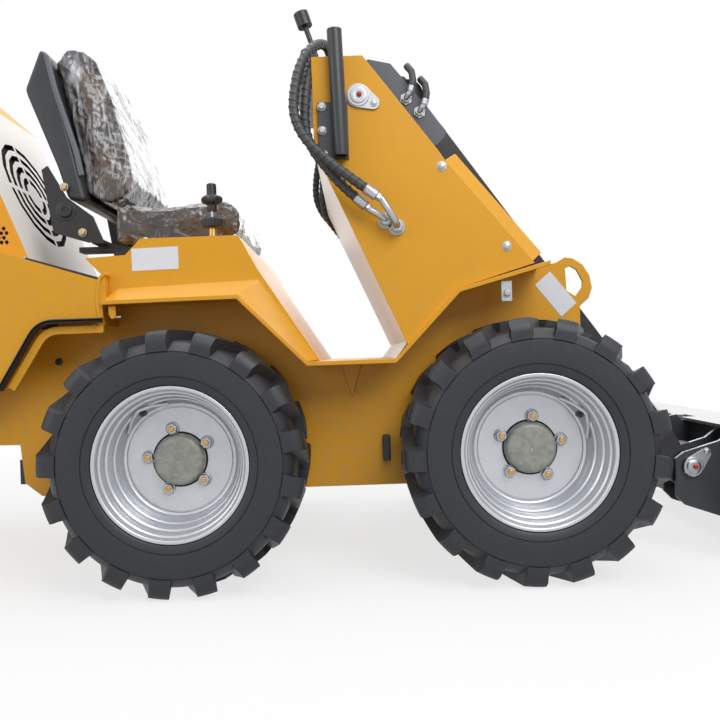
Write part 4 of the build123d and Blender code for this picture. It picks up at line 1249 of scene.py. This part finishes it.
# Stage
class LOADER_OT_stage(bpy.types.Operator):
    """Lay the pale floor and hang the soft studio light"""
    bl_idname = "loader.stage"
    bl_label = "Stage"

    def execute(self, context):
        scene = context.scene
        scene.view_settings.view_transform = "Standard"
        mesh = bpy.data.meshes.new("Studio floor")
        half, down = 30.0, -0.0006
        mesh.from_pydata([(-half, -half, down), (half, -half, down), (half, half, down),
                          (-half, half, down)], [], [(0, 1, 2, 3)])
        floor = bpy.data.objects.new("Studio floor", mesh)
        scene.collection.objects.link(floor)
        paper = bpy.data.materials.new("Pale floor")
        paper.use_nodes = True
        nodes, links = paper.node_tree.nodes, paper.node_tree.links
        paint = nodes["Principled BSDF"]
        paint.inputs["Base Color"].default_value = (0.86, 0.86, 0.86, 1)
        paint.inputs["Roughness"].default_value = 0.9
        glow = nodes.new("ShaderNodeEmission")
        shown = nodes.new("ShaderNodeMixShader")
        where = nodes.new("ShaderNodeNewGeometry")
        away = nodes.new("ShaderNodeVectorMath")
        away.operation = "LENGTH"
        links.new(where.outputs["Position"], away.inputs[0])
        whiter = nodes.new("ShaderNodeMapRange")
        for key, value in (("From Min", 1.5), ("From Max", 3.2), ("To Min", 0.74),
                           ("To Max", 1.0)):
            whiter.inputs[key].default_value = value
        links.new(away.outputs["Value"], whiter.inputs["Value"])
        links.new(whiter.outputs[0], shown.inputs[0])
        links.new(paint.outputs[0], shown.inputs[1])
        links.new(glow.outputs[0], shown.inputs[2])
        bounce = nodes.new("ShaderNodeBsdfDiffuse")
        bounce.inputs["Color"].default_value = (0.34, 0.34, 0.34, 1)
        blend = nodes.new("ShaderNodeMixShader")
        links.new(self.seen_rays(nodes, links), blend.inputs[0])
        links.new(bounce.outputs[0], blend.inputs[1])
        links.new(shown.outputs[0], blend.inputs[2])
        links.new(blend.outputs[0], nodes["Material Output"].inputs[0])
        mesh.materials.append(paper)

        world = bpy.data.worlds.new("Studio world")
        scene.world = world
        world.use_nodes = True
        nodes, links = world.node_tree.nodes, world.node_tree.links
        sky = nodes["Background"]
        sky.inputs["Color"].default_value = (1, 1, 1, 1)
        seen = self.seen_rays(nodes, links)
        strength = nodes.new("ShaderNodeMapRange")
        strength.inputs["To Min"].default_value = 0.27
        strength.inputs["To Max"].default_value = 1.0
        links.new(seen, strength.inputs["Value"])
        links.new(strength.outputs[0], sky.inputs["Strength"])

        for name, place_at, size, power in (("Key light", (1.6, -3.2, 3.4), 2.6, 120),
                                            ("Top light", (-0.4, 0.2, 4.2), 3.4, 90),
                                            ("Fill light", (-3.4, -2.4, 2.0), 2.4, 30),
                                            ("Back light", (0.5, 3.6, 2.6), 3.0, 40)):
            data = bpy.data.lights.new(name, "AREA")
            data.size = size
            data.energy = power
            lamp = bpy.data.objects.new(name, data)
            scene.collection.objects.link(lamp)
            lamp.location = place_at
            aim = Vector((0, 0, 0.55)) - Vector(place_at)
            lamp.rotation_euler = aim.to_track_quat("-Z", "Y").to_euler()
        return {"FINISHED"}

    def seen_rays(self, nodes, links):
        """1 for rays from the camera, off gloss and through glass."""
        path = nodes.new("ShaderNodeLightPath")
        value = path.outputs["Is Camera Ray"]
        for name in ("Is Glossy Ray", "Is Transmission Ray"):
            either = nodes.new("ShaderNodeMath")
            either.operation = "MAXIMUM"
            links.new(value, either.inputs[0])
            links.new(path.outputs[name], either.inputs[1])
            value = either.outputs[0]
        return value


STEPS = (LOADER_OT_camera, LOADER_OT_hoses, LOADER_OT_wheels, LOADER_OT_chassis,
         LOADER_OT_tower, LOADER_OT_console, LOADER_OT_seat, LOADER_OT_engine_bay,
         LOADER_OT_hood, LOADER_OT_boom, LOADER_OT_coupler, LOADER_OT_stage)


class LOADER_PT_panel(bpy.types.Panel):
    """Sizes, colours and pieces of the loader"""
    bl_label = "Loader"
    bl_space_type = "VIEW_3D"
    bl_region_type = "UI"
    bl_category = "Loader"

    def draw(self, context):
        for group in (context.scene.loader_sizes, context.scene.loader_colours):
            box = self.layout.box()
            for key in group.__annotations__:
                box.prop(group, key)
        for step in STEPS:
            self.layout.operator(step.bl_idname)


CLASSES = (LoaderSizes, LoaderColours) + STEPS + (LOADER_PT_panel,)


def register():
    for cls in CLASSES:
        bpy.utils.register_class(cls)
    bpy.types.Scene.loader_sizes = PointerProperty(type=LoaderSizes)
    bpy.types.Scene.loader_colours = PointerProperty(type=LoaderColours)


def unregister():
    del bpy.types.Scene.loader_colours
    del bpy.types.Scene.loader_sizes
    for cls in reversed(CLASSES):
        bpy.utils.unregister_class(cls)


def main():
    register()
    for step in STEPS:
        group, operator = step.bl_idname.split(".")
        getattr(getattr(bpy.ops, group), operator)()


if __name__ == "__main__":
    main()
